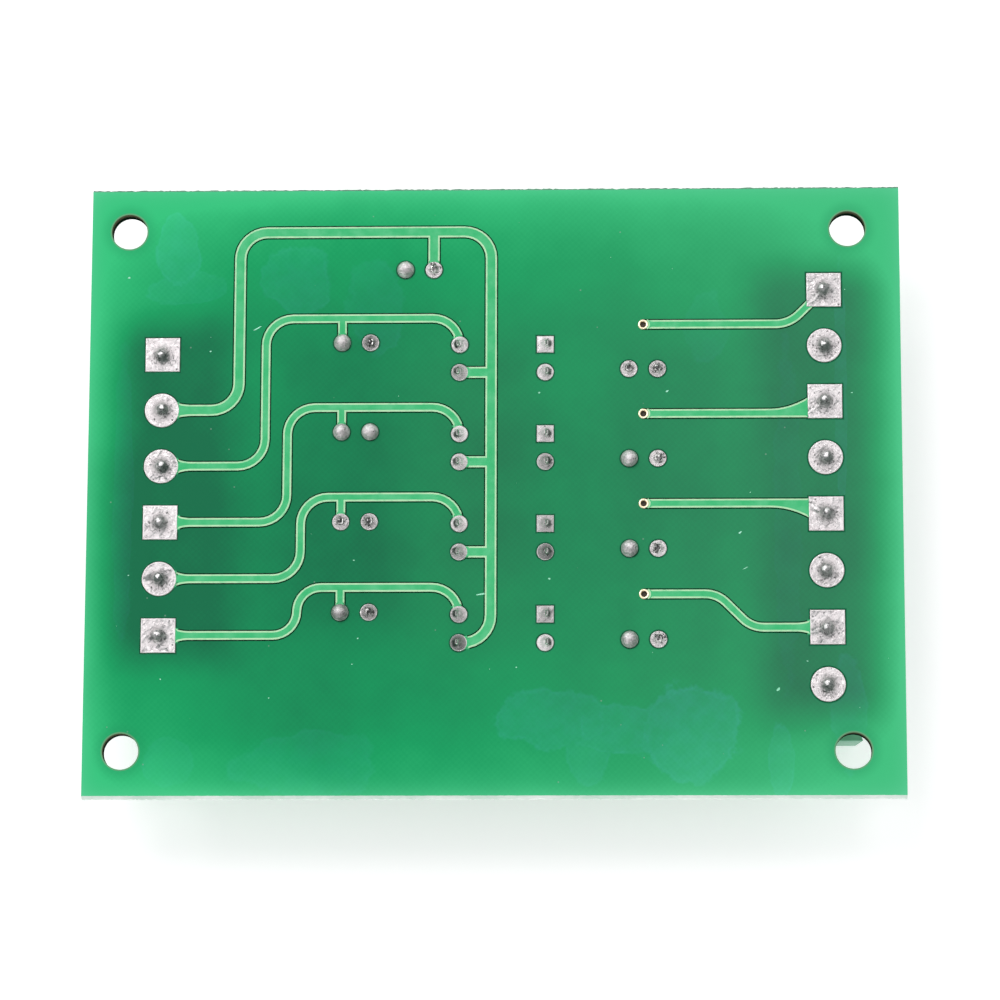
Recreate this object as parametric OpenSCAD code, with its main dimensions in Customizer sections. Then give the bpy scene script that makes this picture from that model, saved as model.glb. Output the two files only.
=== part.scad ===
/* [Board] */
// Length of the board along X
board_w = 72.4; // [71:0.1:80]
// Depth of the board's faces along Y
board_d = 54.7; // [54:0.1:60]
// Thickness of the laminate
board_t = 1.6; // [1.2:0.1:2.4]
// How far the snapped web stands past each long edge
web_out = 0.25; // [0.05:0.05:0.5]
// Depth of the score line cut in each face
score_depth = 0.45; // [0.2:0.05:0.55]

/* [Mounting holes] */
// Radius of the four mounting holes
mount_hole_r = 1.6; // [1.2:0.05:2]
// Left edge to the left holes
hole_left = 3.36; // [3:0.01:5]
// Right edge to the right holes
hole_right = 4.63; // [3:0.01:5]
// Upper edge to the upper holes
hole_upper = 3.72; // [3:0.01:5]
// Lower edge to the lower holes
hole_lower = 3.94; // [3:0.01:5]

/* [Terminal rows] */
// Distance between neighbouring poles
pole_pitch = 5.08; // [5:0.02:5.2]
// Right edge to the pin line of the input terminals
input_row_inset = 6.8; // [6:0.1:8]
// Left edge to the pin line of the output terminals
output_row_inset = 6.54; // [6:0.1:8]
// Middle of the input row along Y
input_row_y = 0.21; // [-1:0.01:1]
// Middle of the output row along Y
output_row_y = -0.41; // [-1:0.01:1]

/* [Terminal blocks] */
// Height of a block above the board
block_h = 11; // [10.7:0.1:14]
// Pin line to the wire side of a block
block_front = 3.75; // [3.6:0.05:4.5]
// Pin line to the back of a block
block_back = 3.85; // [3.5:0.05:5]
// How far the brow over the wire entries leans back
brow_in = 0.45; // [0.1:0.05:0.5]
// Height of the leaning brow
brow_h = 4.2; // [3:0.1:4.4]
// Bevel along the back edge of the top
back_bevel = 0.6; // [0.2:0.05:1]
// Height of the feet that keep a block off the tracks
foot_h = 0.3; // [0.2:0.05:0.5]
// Width of a foot
foot_w = 0.9; // [0.5:0.05:1.1]
// Flare round the mouth of a wire entry
entry_flare = 0.35; // [0.1:0.05:0.4]
// How far the interlocking key stands out of a block's end
key_out = 1; // [0.6:0.05:1.05]
// Height of the key
key_h = 3.6; // [2:0.1:4]
// Width of the key
key_w = 1.45; // [1:0.05:1.5]
// Pin line to the near side of the key
key_near = 1.8; // [1.75:0.05:2]

/* [Contact frames] */
// Length of a frame along the wire
frame_l = 3.4; // [3:0.05:3.6]
// Width of a frame across the wire
frame_w = 3.6; // [3.3:0.05:3.8]
// Thickness of the strip that a frame is bent from
strip_t = 0.6; // [0.4:0.05:0.7]
// Height of the gap that takes the wire
gap_h = 3.6; // [3.3:0.05:3.7]
// Thickness of the threaded top of a frame
nut_t = 1.4; // [1:0.05:1.5]
// Height of a frame's underside above the board
frame_rise = 0.8; // [0.5:0.05:0.9]
// Radius of a solder pin
pin_r = 0.42; // [0.36:0.02:0.55]
// How far a pin stands out of the solder side
pin_out = 1.05; // [0.95:0.05:2]

/* [Clamp screws] */
// Radius of a screw's thread
screw_r = 1.45; // [1.1:0.05:1.5]
// Radius of its head
head_r = 1.8; // [1.65:0.05:1.85]
// Height of its head
head_h = 1.5; // [1:0.05:1.6]
// Width of the slot in the head
slot_w = 0.6; // [0.3:0.05:0.8]
// Depth of the slot
slot_d = 0.8; // [0.3:0.05:0.9]
// Travel of a screw and its wire leaf
clamp_travel = 2.4; // [1.5:0.1:2.5]
// Thickness of a wire leaf
leaf_t = 0.35; // [0.3:0.05:0.5]
// Depth of the teeth under a wire leaf
tooth_depth = 0.12; // [0.05:0.01:0.2]

/* [Channels] */
// Distance between neighbouring channels
channel_pitch = 8.13; // [8:0.01:8.3]
// Middle of the row of channels along Y
channels_y = -0.35; // [-1:0.01:1]
// Place of the optocouplers along X
coupler_x = 0.73; // [0:0.01:1.5]
// Place of the output lamps along X
output_lamp_x = -12.32; // [-13:0.01:-12]
// Output lamps above the middle of their channel
output_lamp_up = 1.47; // [1:0.01:2]
// Place of the input lamps along X
input_lamp_x = 13.27; // [12.5:0.01:14]
// Input lamps below the middle of their channel
input_lamp_down = 1; // [0.5:0.01:1.5]
// Vias above the middle of their channel
via_up = 3.05; // [2.8:0.01:3.3]
// Place of the power lamp along X
power_lamp_x = -6.7; // [-7.5:0.01:-6]
// Upper edge to the power lamp
power_lamp_inset = 7.36; // [7:0.01:7.7]

/* [Optocouplers] */
// Distance between the two rows of leads
coupler_row = 7.62; // [7.5:0.01:7.8]
// Distance between leads in a row
lead_pitch = 2.54; // [2.4:0.01:2.7]
// Length of a body between its rows of leads
coupler_l = 6.5; // [6:0.05:6.8]
// Width of a body
coupler_w = 4.58; // [4.4:0.02:5]
// Height of a body
coupler_h = 3.5; // [3:0.05:4]
// Gap under a body
coupler_standoff = 0.5; // [0.3:0.05:1]
// Draft of a body's sides
coupler_draft = 0.25; // [0.1:0.05:0.4]
// Thickness of a lead
lead_t = 0.25; // [0.2:0.01:0.35]
// Width of a lead in the board
lead_w = 0.5; // [0.4:0.01:0.55]
// Width of a lead's shoulder
shoulder_w = 1.2; // [0.9:0.05:1.4]
// How far the leads stand out of the solder side
lead_out = 0.85; // [0.75:0.05:1.5]

/* [Lamps] */
// Radius of a lamp's dome
lamp_r = 1.5; // [1.4:0.05:1.7]
// Height of a lamp above its underside
lamp_h = 5.3; // [4:0.1:6]
// Radius of the flange
flange_r = 1.9; // [1.8:0.05:2.2]
// Height of the flange
flange_h = 1; // [0.6:0.05:1.2]
// Gap under a lamp
lamp_standoff = 0.4; // [0.3:0.05:1]
// Width of a lamp's square leads
lamp_lead_w = 0.46; // [0.3:0.02:0.5]

/* [Chip resistors] */
// Length of a chip
chip_l = 2; // [1.6:0.05:2.2]
// Width of a chip
chip_w = 1.25; // [0.8:0.05:1.4]
// Height of a chip
chip_h = 0.55; // [0.3:0.05:0.7]
// Length of a chip's end cap
cap_l = 0.4; // [0.2:0.05:0.5]
// Distance of a chip from the pin or via beside it
chip_offset = 2.9; // [2.6:0.05:3.2]

/* [Pads and solder] */
// Size of a terminal pad
terminal_pad = 3.07; // [2.6:0.01:3.3]
// Size of a coupler's or lamp's pad
lead_pad = 1.5; // [1.3:0.01:1.7]
// Thickness of a tinned pad
pad_t = 0.1; // [0.08:0.01:0.2]
// Height of the solder fillet at a terminal pin
terminal_fillet = 0.7; // [0.4:0.05:0.8]
// Height of the solder fillet at a lead
lead_fillet = 0.55; // [0.3:0.05:0.6]
// Radius of a via's ring
via_ring_r = 0.46; // [0.42:0.01:0.6]
// Radius of a via's open hole
via_hole_r = 0.27; // [0.15:0.01:0.3]

/* [Tracks] */
// Width of the common and supply tracks
bus_w = 1; // [0.7:0.02:1.1]
// Width of the other tracks
track_w = 0.78; // [0.5:0.02:0.9]
// Height of a track above the laminate
track_t = 0.08; // [0.06:0.01:0.12]
// Bend radius of the common and output tracks
bend_r = 2.43; // [1.5:0.01:2.6]
// Upper edge to the common track
common_inset = 3.86; // [3:0.01:4.2]
// Common track to the couplers' output leads
bus_offset = 2.8; // [2.6:0.01:3]
// Bend radius where the first input track sweeps up to its pad
sweep_r = 3; // [1:0.1:3.5]
// Bend radius where the last input track steps down
step_r = 2.6; // [0.5:0.1:3]
// Length of the shoulder where an input track meets its pad from the side
shoulder_l = 3.6; // [2:0.1:5]

/* [Hidden] */
$fn = 48;
channels = 4;
input_blocks = 4;
output_blocks = 3;
poles_per_block = 2;
input_poles = input_blocks * poles_per_block;
output_poles = output_blocks * poles_per_block;
square_output_pads = [true, false, false, true, false, true];
// Overrun of a cut past the face that it opens
cut = 1;
// Clearance of a thread, and of a frame in its pocket
fit_gap = 0.05;
// Clearance of a wire leaf in its frame
leaf_gap = 0.08;
// Clearance of a screw's head in its well, and over the frame when clamped
well_gap = 0.2;
// Clearance of a key in its groove
key_gap = 0.1;
// Clearance between a screw's tip and its leaf
tip_gap = 0.03;
// Clearance of a pin or lead in its hole and in its solder
hole_gap = 0.15;
solder_gap = 0.03;
// Points of a track closer together than this are one point
same_point = 0.03;
// Wall of a via's sleeve
via_wall = 0.05;
// Rise of the chips' end caps above the ceramic
cap_t = 0.04;
// Depth and radius of the dot beside a coupler's first lead
dot_depth = 0.1;
dot_r = 0.45;
// Steps of an arc, a solder curve and a flare
arc_steps = 8;
curve_steps = 6;
teeth = 5;
// Curve of the solder between pad and pin
solder_power = 2.2;
// Distance of the return tracks below the middle of their channel
return_down = 2.95;
// Upper edge to the supply track
supply_inset = 10.15;
// Shares of the span between output pads and output lamps at which the tracks rise
common_rise_share = 0.427;
rise_shares = [0.576, 0.70, 0.778, 0.762];
// Share of the span between vias and input pads at which the last track steps
step_share = 0.4;
return_jog_share = 0.54;
supply_jog_share = 0.48;
// Shares of a pad's size for the flares of the tracks
flare_start_share = 0.42;
flare_half_share = 0.225;
flare_length_share = 0.46;
shoulder_end_share = 0.155;
dovetail_share = 0.12;
fillet_top_share = 0.35;
dot_place_share = 0.62;

// Heights in the row: the part lies on the terminals, solder side up
seat_z = block_h;
solder_z = seat_z + board_t;
// Columns of pins along X
input_pin_x = board_w / 2 - input_row_inset;
output_pin_x = output_row_inset - board_w / 2;
coupler_in_x = coupler_x + coupler_row / 2;
coupler_out_x = coupler_x - coupler_row / 2;
via_x = input_lamp_x;
bus_x = coupler_out_x + bus_offset;
supply_x = coupler_out_x - bus_offset;
common_y = board_d / 2 - common_inset;
supply_y = board_d / 2 - supply_inset;
power_lamp_y = board_d / 2 - power_lamp_inset;
output_span = output_lamp_x - lead_pitch / 2 - output_pin_x;
input_span = input_pin_x - via_x;
// Heights inside a block, counted from the board
window_w = frame_w - 2 * strip_t;
window_z = frame_rise + strip_t;
nut_z = window_z + gap_h;
frame_top = nut_z + nut_t;
leaf_top = nut_z - well_gap;
head_z = frame_top + clamp_travel + well_gap;
well_r = head_r + well_gap;
block_l = poles_per_block * pole_pitch;
lead_hole_r = lead_w / 2 + hole_gap + fit_gap;
lead_core_r = norm([lamp_lead_w, lamp_lead_w]) / 2 + solder_gap;

// Places that repeat along Y
function input_y(i) = input_row_y + ((input_poles - 1) / 2 - i) * pole_pitch;
function output_y(i) = output_row_y + ((output_poles - 1) / 2 - i) * pole_pitch;
function input_block_y(b) = (input_y(b * poles_per_block) + input_y((b + 1) * poles_per_block - 1)) / 2;
function output_block_y(b) = (output_y(b * poles_per_block) + output_y((b + 1) * poles_per_block - 1)) / 2;
function channel_y(c) = channels_y + ((channels - 1) / 2 - c) * channel_pitch;
function upper_lead_y(c) = channel_y(c) + lead_pitch / 2;
function lower_lead_y(c) = channel_y(c) - lead_pitch / 2;
function output_lamp_y(c) = channel_y(c) + output_lamp_up;
function input_lamp_y(c) = channel_y(c) - input_lamp_down;
function via_y(c) = channel_y(c) + via_up;
function return_y(c) = channel_y(c) - return_down;

// Every lamp: [x, y]
lamp_places = [
    for (c = [0:channels - 1]) each [[output_lamp_x, output_lamp_y(c)], [input_lamp_x, input_lamp_y(c)]],
    [power_lamp_x, power_lamp_y]
];
// Every pad: [x, y, is square]
terminal_places = [
    for (i = [0:input_poles - 1]) [input_pin_x, input_y(i), i % poles_per_block == 0],
    for (i = [0:output_poles - 1]) [output_pin_x, output_y(i), square_output_pads[i]]
];
coupler_places = [
    for (c = [0:channels - 1]) each [
        [coupler_in_x, upper_lead_y(c), true], [coupler_in_x, lower_lead_y(c), false],
        [coupler_out_x, upper_lead_y(c), false], [coupler_out_x, lower_lead_y(c), false]
    ]
];
lamp_pad_places = [
    for (p = lamp_places, side = [-1, 1]) [p[0] + side * lead_pitch / 2, p[1], false]
];
via_places = [for (c = [0:channels - 1]) [via_x, via_y(c), false]];
// Every chip: [x, y]
input_chips = [for (c = [0:channels - 1]) [via_x + chip_offset, via_y(c)]];
output_chips = [
    for (c = [0:channels - 1]) [output_lamp_x + lead_pitch / 2 + chip_offset, output_lamp_y(c)],
    [power_lamp_x - lead_pitch / 2 - chip_offset, power_lamp_y]
];
chip_land = chip_l / 2;
mount_places = [
    for (x = [hole_left - board_w / 2, board_w / 2 - hole_right])
        for (y = [hole_lower - board_d / 2, board_d / 2 - hole_upper]) [x, y]
];

// A corner b of a track between a and c, rounded to radius r
function turned(v, angle) = [v[0] * cos(angle) - v[1] * sin(angle), v[0] * sin(angle) + v[1] * cos(angle)];
function unit(v) = v / norm(v);
function rounded_corner(a, b, c, r, room_in, room_out) =
    let (
        u = unit(a - b), w = unit(c - b),
        half = acos(max(-1, min(1, u * w))) / 2,
        reach = min(r / tan(half), room_in, room_out),
        fit_r = reach * tan(half),
        centre = b + unit(u + w) * fit_r / sin(half),
        sweep = sign(u[1] * w[0] - u[0] * w[1]) * (180 - 2 * half)
    )
    [for (k = [0:arc_steps]) centre + turned(b + u * reach - centre, sweep * k / arc_steps)];
// A track's centre line through corner points, with every corner rounded
function route(points, r) =
    let (last = len(points) - 1)
    [
        points[0],
        for (i = [1:1:last - 1]) each rounded_corner(
            points[i - 1], points[i], points[i + 1], r,
            norm(points[i] - points[i - 1]) / (i == 1 ? 1 : 2),
            norm(points[i + 1] - points[i]) / (i == last - 1 ? 1 : 2)
        ),
        points[last]
    ];
function distinct(points) = [
    for (i = [0:len(points) - 1]) if (i == 0 || norm(points[i] - points[i - 1]) > same_point) points[i]
];
function side_point(points, i, half_w) =
    let (
        before = i == 0 ? points[1] - points[0] : points[i] - points[i - 1],
        after = i == len(points) - 1 ? before : points[i + 1] - points[i],
        along = unit(unit(before) + unit(after)),
        lean = along * unit(before)
    )
    points[i] + turned(along, 90) * half_w / lean;
// Outline of a track of width w along a centre line
function ribbon(line, w) =
    let (points = distinct(line), last = len(points) - 1)
    [
        for (i = [0:last]) side_point(points, i, w / 2),
        for (i = [last:-1:0]) side_point(points, i, -w / 2)
    ];

module track(points, w, r) polygon(ribbon(route(points, r), w));

// The points of an outline in the order that goes round clockwise, for one made on either side
function clockwise(points, side) = side > 0 ? points : [for (i = [len(points) - 1:-1:0]) points[i]];

// Flare where a track of width w leaves a terminal pad, to one side along X
module pad_flare(x, y, w, side) {
    start = flare_start_share * terminal_pad;
    length = flare_length_share * terminal_pad;
    spread = flare_half_share * terminal_pad - w / 2;
    edge = [
        for (k = [0:curve_steps])
            [side * (start + length * k / curve_steps), w / 2 + spread * pow(1 - k / curve_steps, 2)]
    ];
    translate([x, y])
        polygon(clockwise(concat(edge, [for (k = [curve_steps:-1:0]) [edge[k][0], -edge[k][1]]]), side));
}

// Shoulder that leads an input track to a pad that lies a little to one side of it
module pad_shoulder(c, pad_y) {
    lean = sign(pad_y - via_y(c));
    pad_edge = input_pin_x - flare_start_share * terminal_pad;
    track_edge = via_y(c) + lean * track_w / 2;
    rise = pad_y + lean * shoulder_end_share * terminal_pad - track_edge;
    edge = [
        for (k = [0:curve_steps])
            [pad_edge - shoulder_l * (1 - k / curve_steps), track_edge + rise * pow(k / curve_steps, 2)]
    ];
    polygon(clockwise(concat(edge, [[pad_edge, via_y(c)], [pad_edge - shoulder_l, via_y(c)]]), lean));
}

module pad_outline(places, size) {
    for (p = places) translate([p[0], p[1]])
        if (p[2]) square(size, center = true);
        else circle(d = size);
}

// Places a piece on the component side, its own Z pointing away from the board
module on_component_side(x, y, turn = 0) translate([x, y, seat_z]) rotate([180, 0, turn]) children();
module at_input_pole(i) on_component_side(input_pin_x, input_y(i)) children();
module at_output_pole(i) on_component_side(output_pin_x, output_y(i), 180) children();

module drilled(places, r) for (p = places)
    translate([p[0], p[1], seat_z - cut]) cylinder(r = r, h = board_t + 2 * cut);

module circuit_board() color("mediumseagreen") {
    half_d = board_d / 2;
    difference() {
        rotate([90, 0, 90]) linear_extrude(board_w, center = true) polygon([
            [-half_d, seat_z], [half_d, seat_z],
            [half_d + web_out, seat_z + score_depth], [half_d + web_out, solder_z - score_depth],
            [half_d, solder_z], [-half_d, solder_z],
            [-half_d - web_out, solder_z - score_depth], [-half_d - web_out, seat_z + score_depth]
        ]);
        drilled(mount_places, mount_hole_r);
        drilled(terminal_places, pin_r + hole_gap);
        drilled(coupler_places, lead_hole_r);
        drilled(lamp_pad_places, lead_hole_r);
        drilled(via_places, via_hole_r + via_wall + fit_gap);
    }
}

module common_track() {
    first = [output_pin_x, output_y(1)];
    rise_x = output_pin_x + common_rise_share * output_span;
    last_y = lower_lead_y(channels - 1);
    track([
        first, [rise_x, first[1]], [rise_x, common_y], [bus_x, common_y],
        [bus_x, last_y], [coupler_out_x, last_y]
    ], bus_w, bend_r);
    for (c = [0:channels - 2])
        track([[bus_x, lower_lead_y(c)], [coupler_out_x, lower_lead_y(c)]], bus_w, bend_r);
    power_x = power_lamp_x + lead_pitch / 2;
    track([[power_x, common_y], [power_x, power_lamp_y]], bus_w, bend_r);
    pad_flare(first[0], first[1], bus_w, 1);
}

module output_track(c) {
    first = [output_pin_x, output_y(c + 2)];
    rise_x = output_pin_x + rise_shares[c] * output_span;
    top_y = upper_lead_y(c) + bend_r;
    lamp_x = output_lamp_x - lead_pitch / 2;
    track([
        first, [rise_x, first[1]], [rise_x, top_y],
        [coupler_out_x, top_y], [coupler_out_x, upper_lead_y(c)]
    ], track_w, bend_r);
    track([[lamp_x, top_y], [lamp_x, output_lamp_y(c)]], track_w, bend_r);
    pad_flare(first[0], first[1], track_w, 1);
}

module input_track(c) {
    via = [via_x, via_y(c)];
    pad = [input_pin_x, input_y(c * poles_per_block)];
    drop = abs(pad[1] - via[1]);
    step_x = via_x + step_share * input_span;
    if (c == 0) track([via, [pad[0] - drop, via[1]], pad], track_w, sweep_r);
    else if (c == channels - 1) {
        track([via, [step_x, via[1]], [step_x + drop, pad[1]], pad], track_w, step_r);
        pad_flare(pad[0], pad[1], track_w, -1);
    }
    else {
        track([via, [pad[0], via[1]]], track_w, bend_r);
        pad_shoulder(c, pad[1]);
    }
}

module solder_side_tracks() color("limegreen") translate([0, 0, solder_z]) linear_extrude(track_t)
    difference() {
        union() {
            common_track();
            for (c = [0:channels - 1]) {
                output_track(c);
                input_track(c);
            }
        }
        pad_outline(terminal_places, terminal_pad);
        pad_outline(coupler_places, lead_pad);
        pad_outline(lamp_pad_places, lead_pad);
        pad_outline(via_places, 2 * via_ring_r);
    }

module round_pads(places, size) for (p = places) translate([p[0], p[1]]) circle(d = size);

module chip_lands(places) for (p = places, side = [-1, 1])
    translate([p[0] + side * chip_land, p[1]]) square([chip_land, chip_w], center = true);

module component_pad_outlines() {
    round_pads(terminal_places, terminal_pad);
    round_pads(coupler_places, lead_pad);
    round_pads(lamp_pad_places, lead_pad);
    chip_lands(input_chips);
    chip_lands(output_chips);
}

module component_side_pads() color("silver")
    translate([0, 0, seat_z - track_t]) linear_extrude(track_t) difference() {
        component_pad_outlines();
        round_pads(terminal_places, 2 * (pin_r + hole_gap));
        round_pads(coupler_places, 2 * lead_hole_r);
        round_pads(lamp_pad_places, 2 * lead_hole_r);
    }

module input_component_track(c) {
    chip = input_chips[c];
    lamp_y = input_lamp_y(c);
    near_lamp_x = input_lamp_x - lead_pitch / 2;
    far_lamp_x = input_lamp_x + lead_pitch / 2;
    middle_x = (near_lamp_x + coupler_in_x) / 2;
    turn_x = (middle_x + coupler_in_x) / 2;
    jog_x = via_x + return_jog_share * input_span;
    return_pad_y = input_y(c * poles_per_block + 1);
    track([[via_x, chip[1]], [chip[0] - chip_land, chip[1]]], track_w, bend_r);
    track([
        [chip[0] + chip_land, chip[1]], [chip[0] + chip_land, lamp_y], [far_lamp_x, lamp_y]
    ], track_w, track_w);
    track([
        [near_lamp_x, lamp_y], [middle_x, lamp_y],
        [middle_x, upper_lead_y(c)], [coupler_in_x, upper_lead_y(c)]
    ], track_w, track_w);
    track([
        [input_pin_x, return_pad_y], [jog_x, return_pad_y], [jog_x, return_y(c)],
        [turn_x, return_y(c)], [turn_x, lower_lead_y(c)], [coupler_in_x, lower_lead_y(c)]
    ], track_w, track_w);
}

module supply_track() {
    jog_x = output_pin_x + supply_jog_share * output_span;
    power_chip = output_chips[channels];
    track([
        [output_pin_x, output_y(0)], [jog_x, output_y(0)], [jog_x, supply_y],
        [supply_x, supply_y], [supply_x, output_lamp_y(channels - 1) - bus_w / 2]
    ], bus_w, bus_w);
    for (c = [0:channels - 1])
        track([
            [output_chips[c][0] + chip_land, output_lamp_y(c)], [supply_x, output_lamp_y(c)]
        ], track_w, bend_r);
    land_x = power_chip[0] - chip_land;
    track([[land_x, power_lamp_y], [land_x, supply_y]], track_w, bend_r);
}

module component_side_tracks() color("limegreen") translate([0, 0, seat_z - track_t]) linear_extrude(track_t)
    difference() {
        union() {
            supply_track();
            for (c = [0:channels - 1]) {
                input_component_track(c);
                lamp_x = output_lamp_x + lead_pitch / 2;
                track([
                    [lamp_x, output_lamp_y(c)], [output_chips[c][0] - chip_land, output_lamp_y(c)]
                ], track_w, bend_r);
            }
            power_x = power_lamp_x - lead_pitch / 2;
            track([
                [power_x, power_lamp_y], [output_chips[channels][0] + chip_land, power_lamp_y]
            ], track_w, bend_r);
        }
        component_pad_outlines();
        pad_outline(via_places, 2 * via_ring_r);
    }

module vias() color("goldenrod") for (p = via_places) translate([p[0], p[1], 0]) rotate_extrude() {
    sleeve_r = via_hole_r + via_wall;
    polygon([
        [via_hole_r, seat_z - track_t], [via_ring_r, seat_z - track_t], [via_ring_r, seat_z],
        [sleeve_r, seat_z], [sleeve_r, solder_z], [via_ring_r, solder_z],
        [via_ring_r, solder_z + track_t], [via_hole_r, solder_z + track_t]
    ]);
}

// Tinned pad with the solder drawn up round a pin in a hollow curve
module solder_joint(size, is_square, core_r, fillet_h) {
    top_r = core_r * (1 + fillet_top_share);
    curve = [
        for (k = [0:curve_steps])
            let (share = k / curve_steps)
                [size / 2 + (top_r - size / 2) * share, pad_t + fillet_h * pow(share, solder_power)]
    ];
    rotate_extrude() polygon(concat([[core_r, 0], [size / 2, 0]], curve, [[core_r, pad_t + fillet_h]]));
    if (is_square) linear_extrude(pad_t) difference() {
        square(size, center = true);
        circle(r = core_r);
    }
}

module solder_joints(places, size, core_r, fillet_h) color("silver")
    for (p = places) translate([p[0], p[1], solder_z]) solder_joint(size, p[2], core_r, fillet_h);

module terminal_solder_joints()
    solder_joints(terminal_places, terminal_pad, pin_r + solder_gap, terminal_fillet);
module coupler_solder_joints() solder_joints(coupler_places, lead_pad, lead_core_r, lead_fillet);
module lamp_solder_joints() solder_joints(lamp_pad_places, lead_pad, lead_core_r, lead_fillet);

// Mouth of a wire entry, widening towards the wire side
module entry_mouth() {
    inner_x = block_front - entry_flare;
    half_w = window_w / 2;
    intersection() {
        linear_extrude(block_h) polygon([
            [inner_x, -half_w], [block_front, -half_w - entry_flare],
            [block_front + cut, -half_w - entry_flare], [block_front + cut, half_w + entry_flare],
            [block_front, half_w + entry_flare], [inner_x, half_w]
        ]);
        rotate([90, 0, 0]) linear_extrude(pole_pitch, center = true) polygon([
            [inner_x, window_z], [block_front, window_z - entry_flare],
            [block_front + cut, window_z - entry_flare], [block_front + cut, nut_z + entry_flare],
            [block_front, nut_z + entry_flare], [inner_x, nut_z]
        ]);
    }
}

// Space inside a block for one pole: pocket of the frame, well of the screw, entry of the wire
module pole_space() {
    pocket_l = frame_l + 2 * fit_gap;
    pocket_w = frame_w + 2 * fit_gap;
    translate([-pocket_l / 2, -pocket_w / 2, -cut]) cube([pocket_l, pocket_w, frame_top + cut]);
    translate([0, 0, frame_top]) cylinder(r = well_r, h = block_h - frame_top + cut);
    translate([0, -window_w / 2, window_z]) cube([block_front + cut, window_w, gap_h]);
    entry_mouth();
}

// Outline of an interlocking key, wider at its outer side
module key_outline(gap) {
    waist = key_w * dovetail_share;
    polygon([
        [key_near + waist - gap, 0], [key_near - gap, key_out + gap],
        [key_near + key_w + gap, key_out + gap], [key_near + key_w - waist + gap, 0]
    ]);
}

module terminal_housing() color("forestgreen") {
    top_front = block_front - brow_in;
    difference() {
        union() {
            rotate([90, 0, 0]) linear_extrude(block_l, center = true) polygon([
                [-block_back, foot_h], [block_front, foot_h], [block_front, block_h - brow_h],
                [top_front, block_h], [back_bevel - block_back, block_h], [-block_back, block_h - back_bevel]
            ]);
            for (x = [-block_back, block_front - foot_w], y = [-block_l / 2, block_l / 2 - foot_w])
                translate([x, y, 0]) cube([foot_w, foot_w, 2 * foot_h]);
            translate([0, block_l / 2, block_h - key_h]) linear_extrude(key_h) key_outline(0);
        }
        for (side = [-1, 1]) translate([0, side * pole_pitch / 2, 0]) pole_space();
        translate([0, -block_l / 2, block_h - key_h - key_gap])
            linear_extrude(key_h + cut) key_outline(key_gap);
    }
}
module input_terminal(b) on_component_side(input_pin_x, input_block_y(b)) terminal_housing();
module output_terminal(b) on_component_side(output_pin_x, output_block_y(b), 180) terminal_housing();

// Bent strip with a threaded top, a gap for the wire and a solder pin
module contact_frame() {
    difference() {
        translate([-frame_l / 2, -frame_w / 2, frame_rise]) cube([frame_l, frame_w, frame_top - frame_rise]);
        translate([-frame_l / 2 - cut, -window_w / 2, window_z]) cube([frame_l + 2 * cut, window_w, gap_h]);
        translate([0, 0, window_z + strip_t]) cylinder(r = screw_r + fit_gap, h = frame_top);
    }
    pin_tip = -board_t - pin_out;
    translate([0, 0, pin_tip]) cylinder(r = pin_r, h = window_z - strip_t / 2 - pin_tip);
}
module input_contact_frames() color("lightsteelblue")
    for (i = [0:input_poles - 1]) at_input_pole(i) contact_frame();
module output_contact_frames() color("lightsteelblue")
    for (i = [0:output_poles - 1]) at_output_pole(i) contact_frame();

// Clamp screw at its highest place, its slotted head in the well of the block
module clamp_screw() color("gainsboro") {
    tip_z = leaf_top + tip_gap;
    difference() {
        union() {
            translate([0, 0, tip_z]) cylinder(r = screw_r, h = head_z + head_h / 2 - tip_z);
            translate([0, 0, head_z]) cylinder(r = head_r, h = head_h);
        }
        translate([-head_r - cut, -slot_w / 2, head_z + head_h - slot_d])
            cube([2 * (head_r + cut), slot_w, slot_d + cut]);
    }
}
module input_screw(i) at_input_pole(i) clamp_screw();
module output_screw(i) at_output_pole(i) clamp_screw();

// Pressure leaf under the screw's tip, toothed towards the wire
module wire_leaf() color("darkkhaki") {
    leaf_l = frame_l - 2 * leaf_gap;
    low_z = leaf_top - leaf_t;
    rotate([90, 0, 0]) linear_extrude(window_w - 2 * leaf_gap, center = true) polygon(concat(
        [[leaf_l / 2, leaf_top], [-leaf_l / 2, leaf_top]],
        [for (k = [0:2 * teeth]) [leaf_l * (k / (2 * teeth) - 1 / 2), low_z + (k % 2 == 0 ? 0 : tooth_depth)]]
    ));
}
module input_wire_leaf(i) at_input_pole(i) wire_leaf();
module output_wire_leaf(i) at_output_pole(i) wire_leaf();

// Outline across a coupler's body: drafted up and down from a band as high as a lead is thick
function drafted_outline(half) =
    let (low = coupler_standoff, high = coupler_standoff + coupler_h, middle = (low + high) / 2)
    [
        [half - coupler_draft, low], [half, middle - lead_t / 2], [half, middle + lead_t / 2],
        [half - coupler_draft, high], [coupler_draft - half, high],
        [-half, middle + lead_t / 2], [-half, middle - lead_t / 2], [coupler_draft - half, low]
    ];

module optocoupler(c) color("dimgray") on_component_side(coupler_x, channel_y(c)) difference() {
    intersection() {
        rotate([90, 0, 0]) linear_extrude(coupler_w, center = true) polygon(drafted_outline(coupler_l / 2));
        rotate([90, 0, 90]) linear_extrude(coupler_l, center = true) polygon(drafted_outline(coupler_w / 2));
    }
    translate([
        dot_place_share * coupler_l / 2, -dot_place_share * coupler_w / 2,
        coupler_standoff + coupler_h - dot_depth
    ]) cylinder(r = dot_r, h = dot_depth + cut);
}

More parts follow.
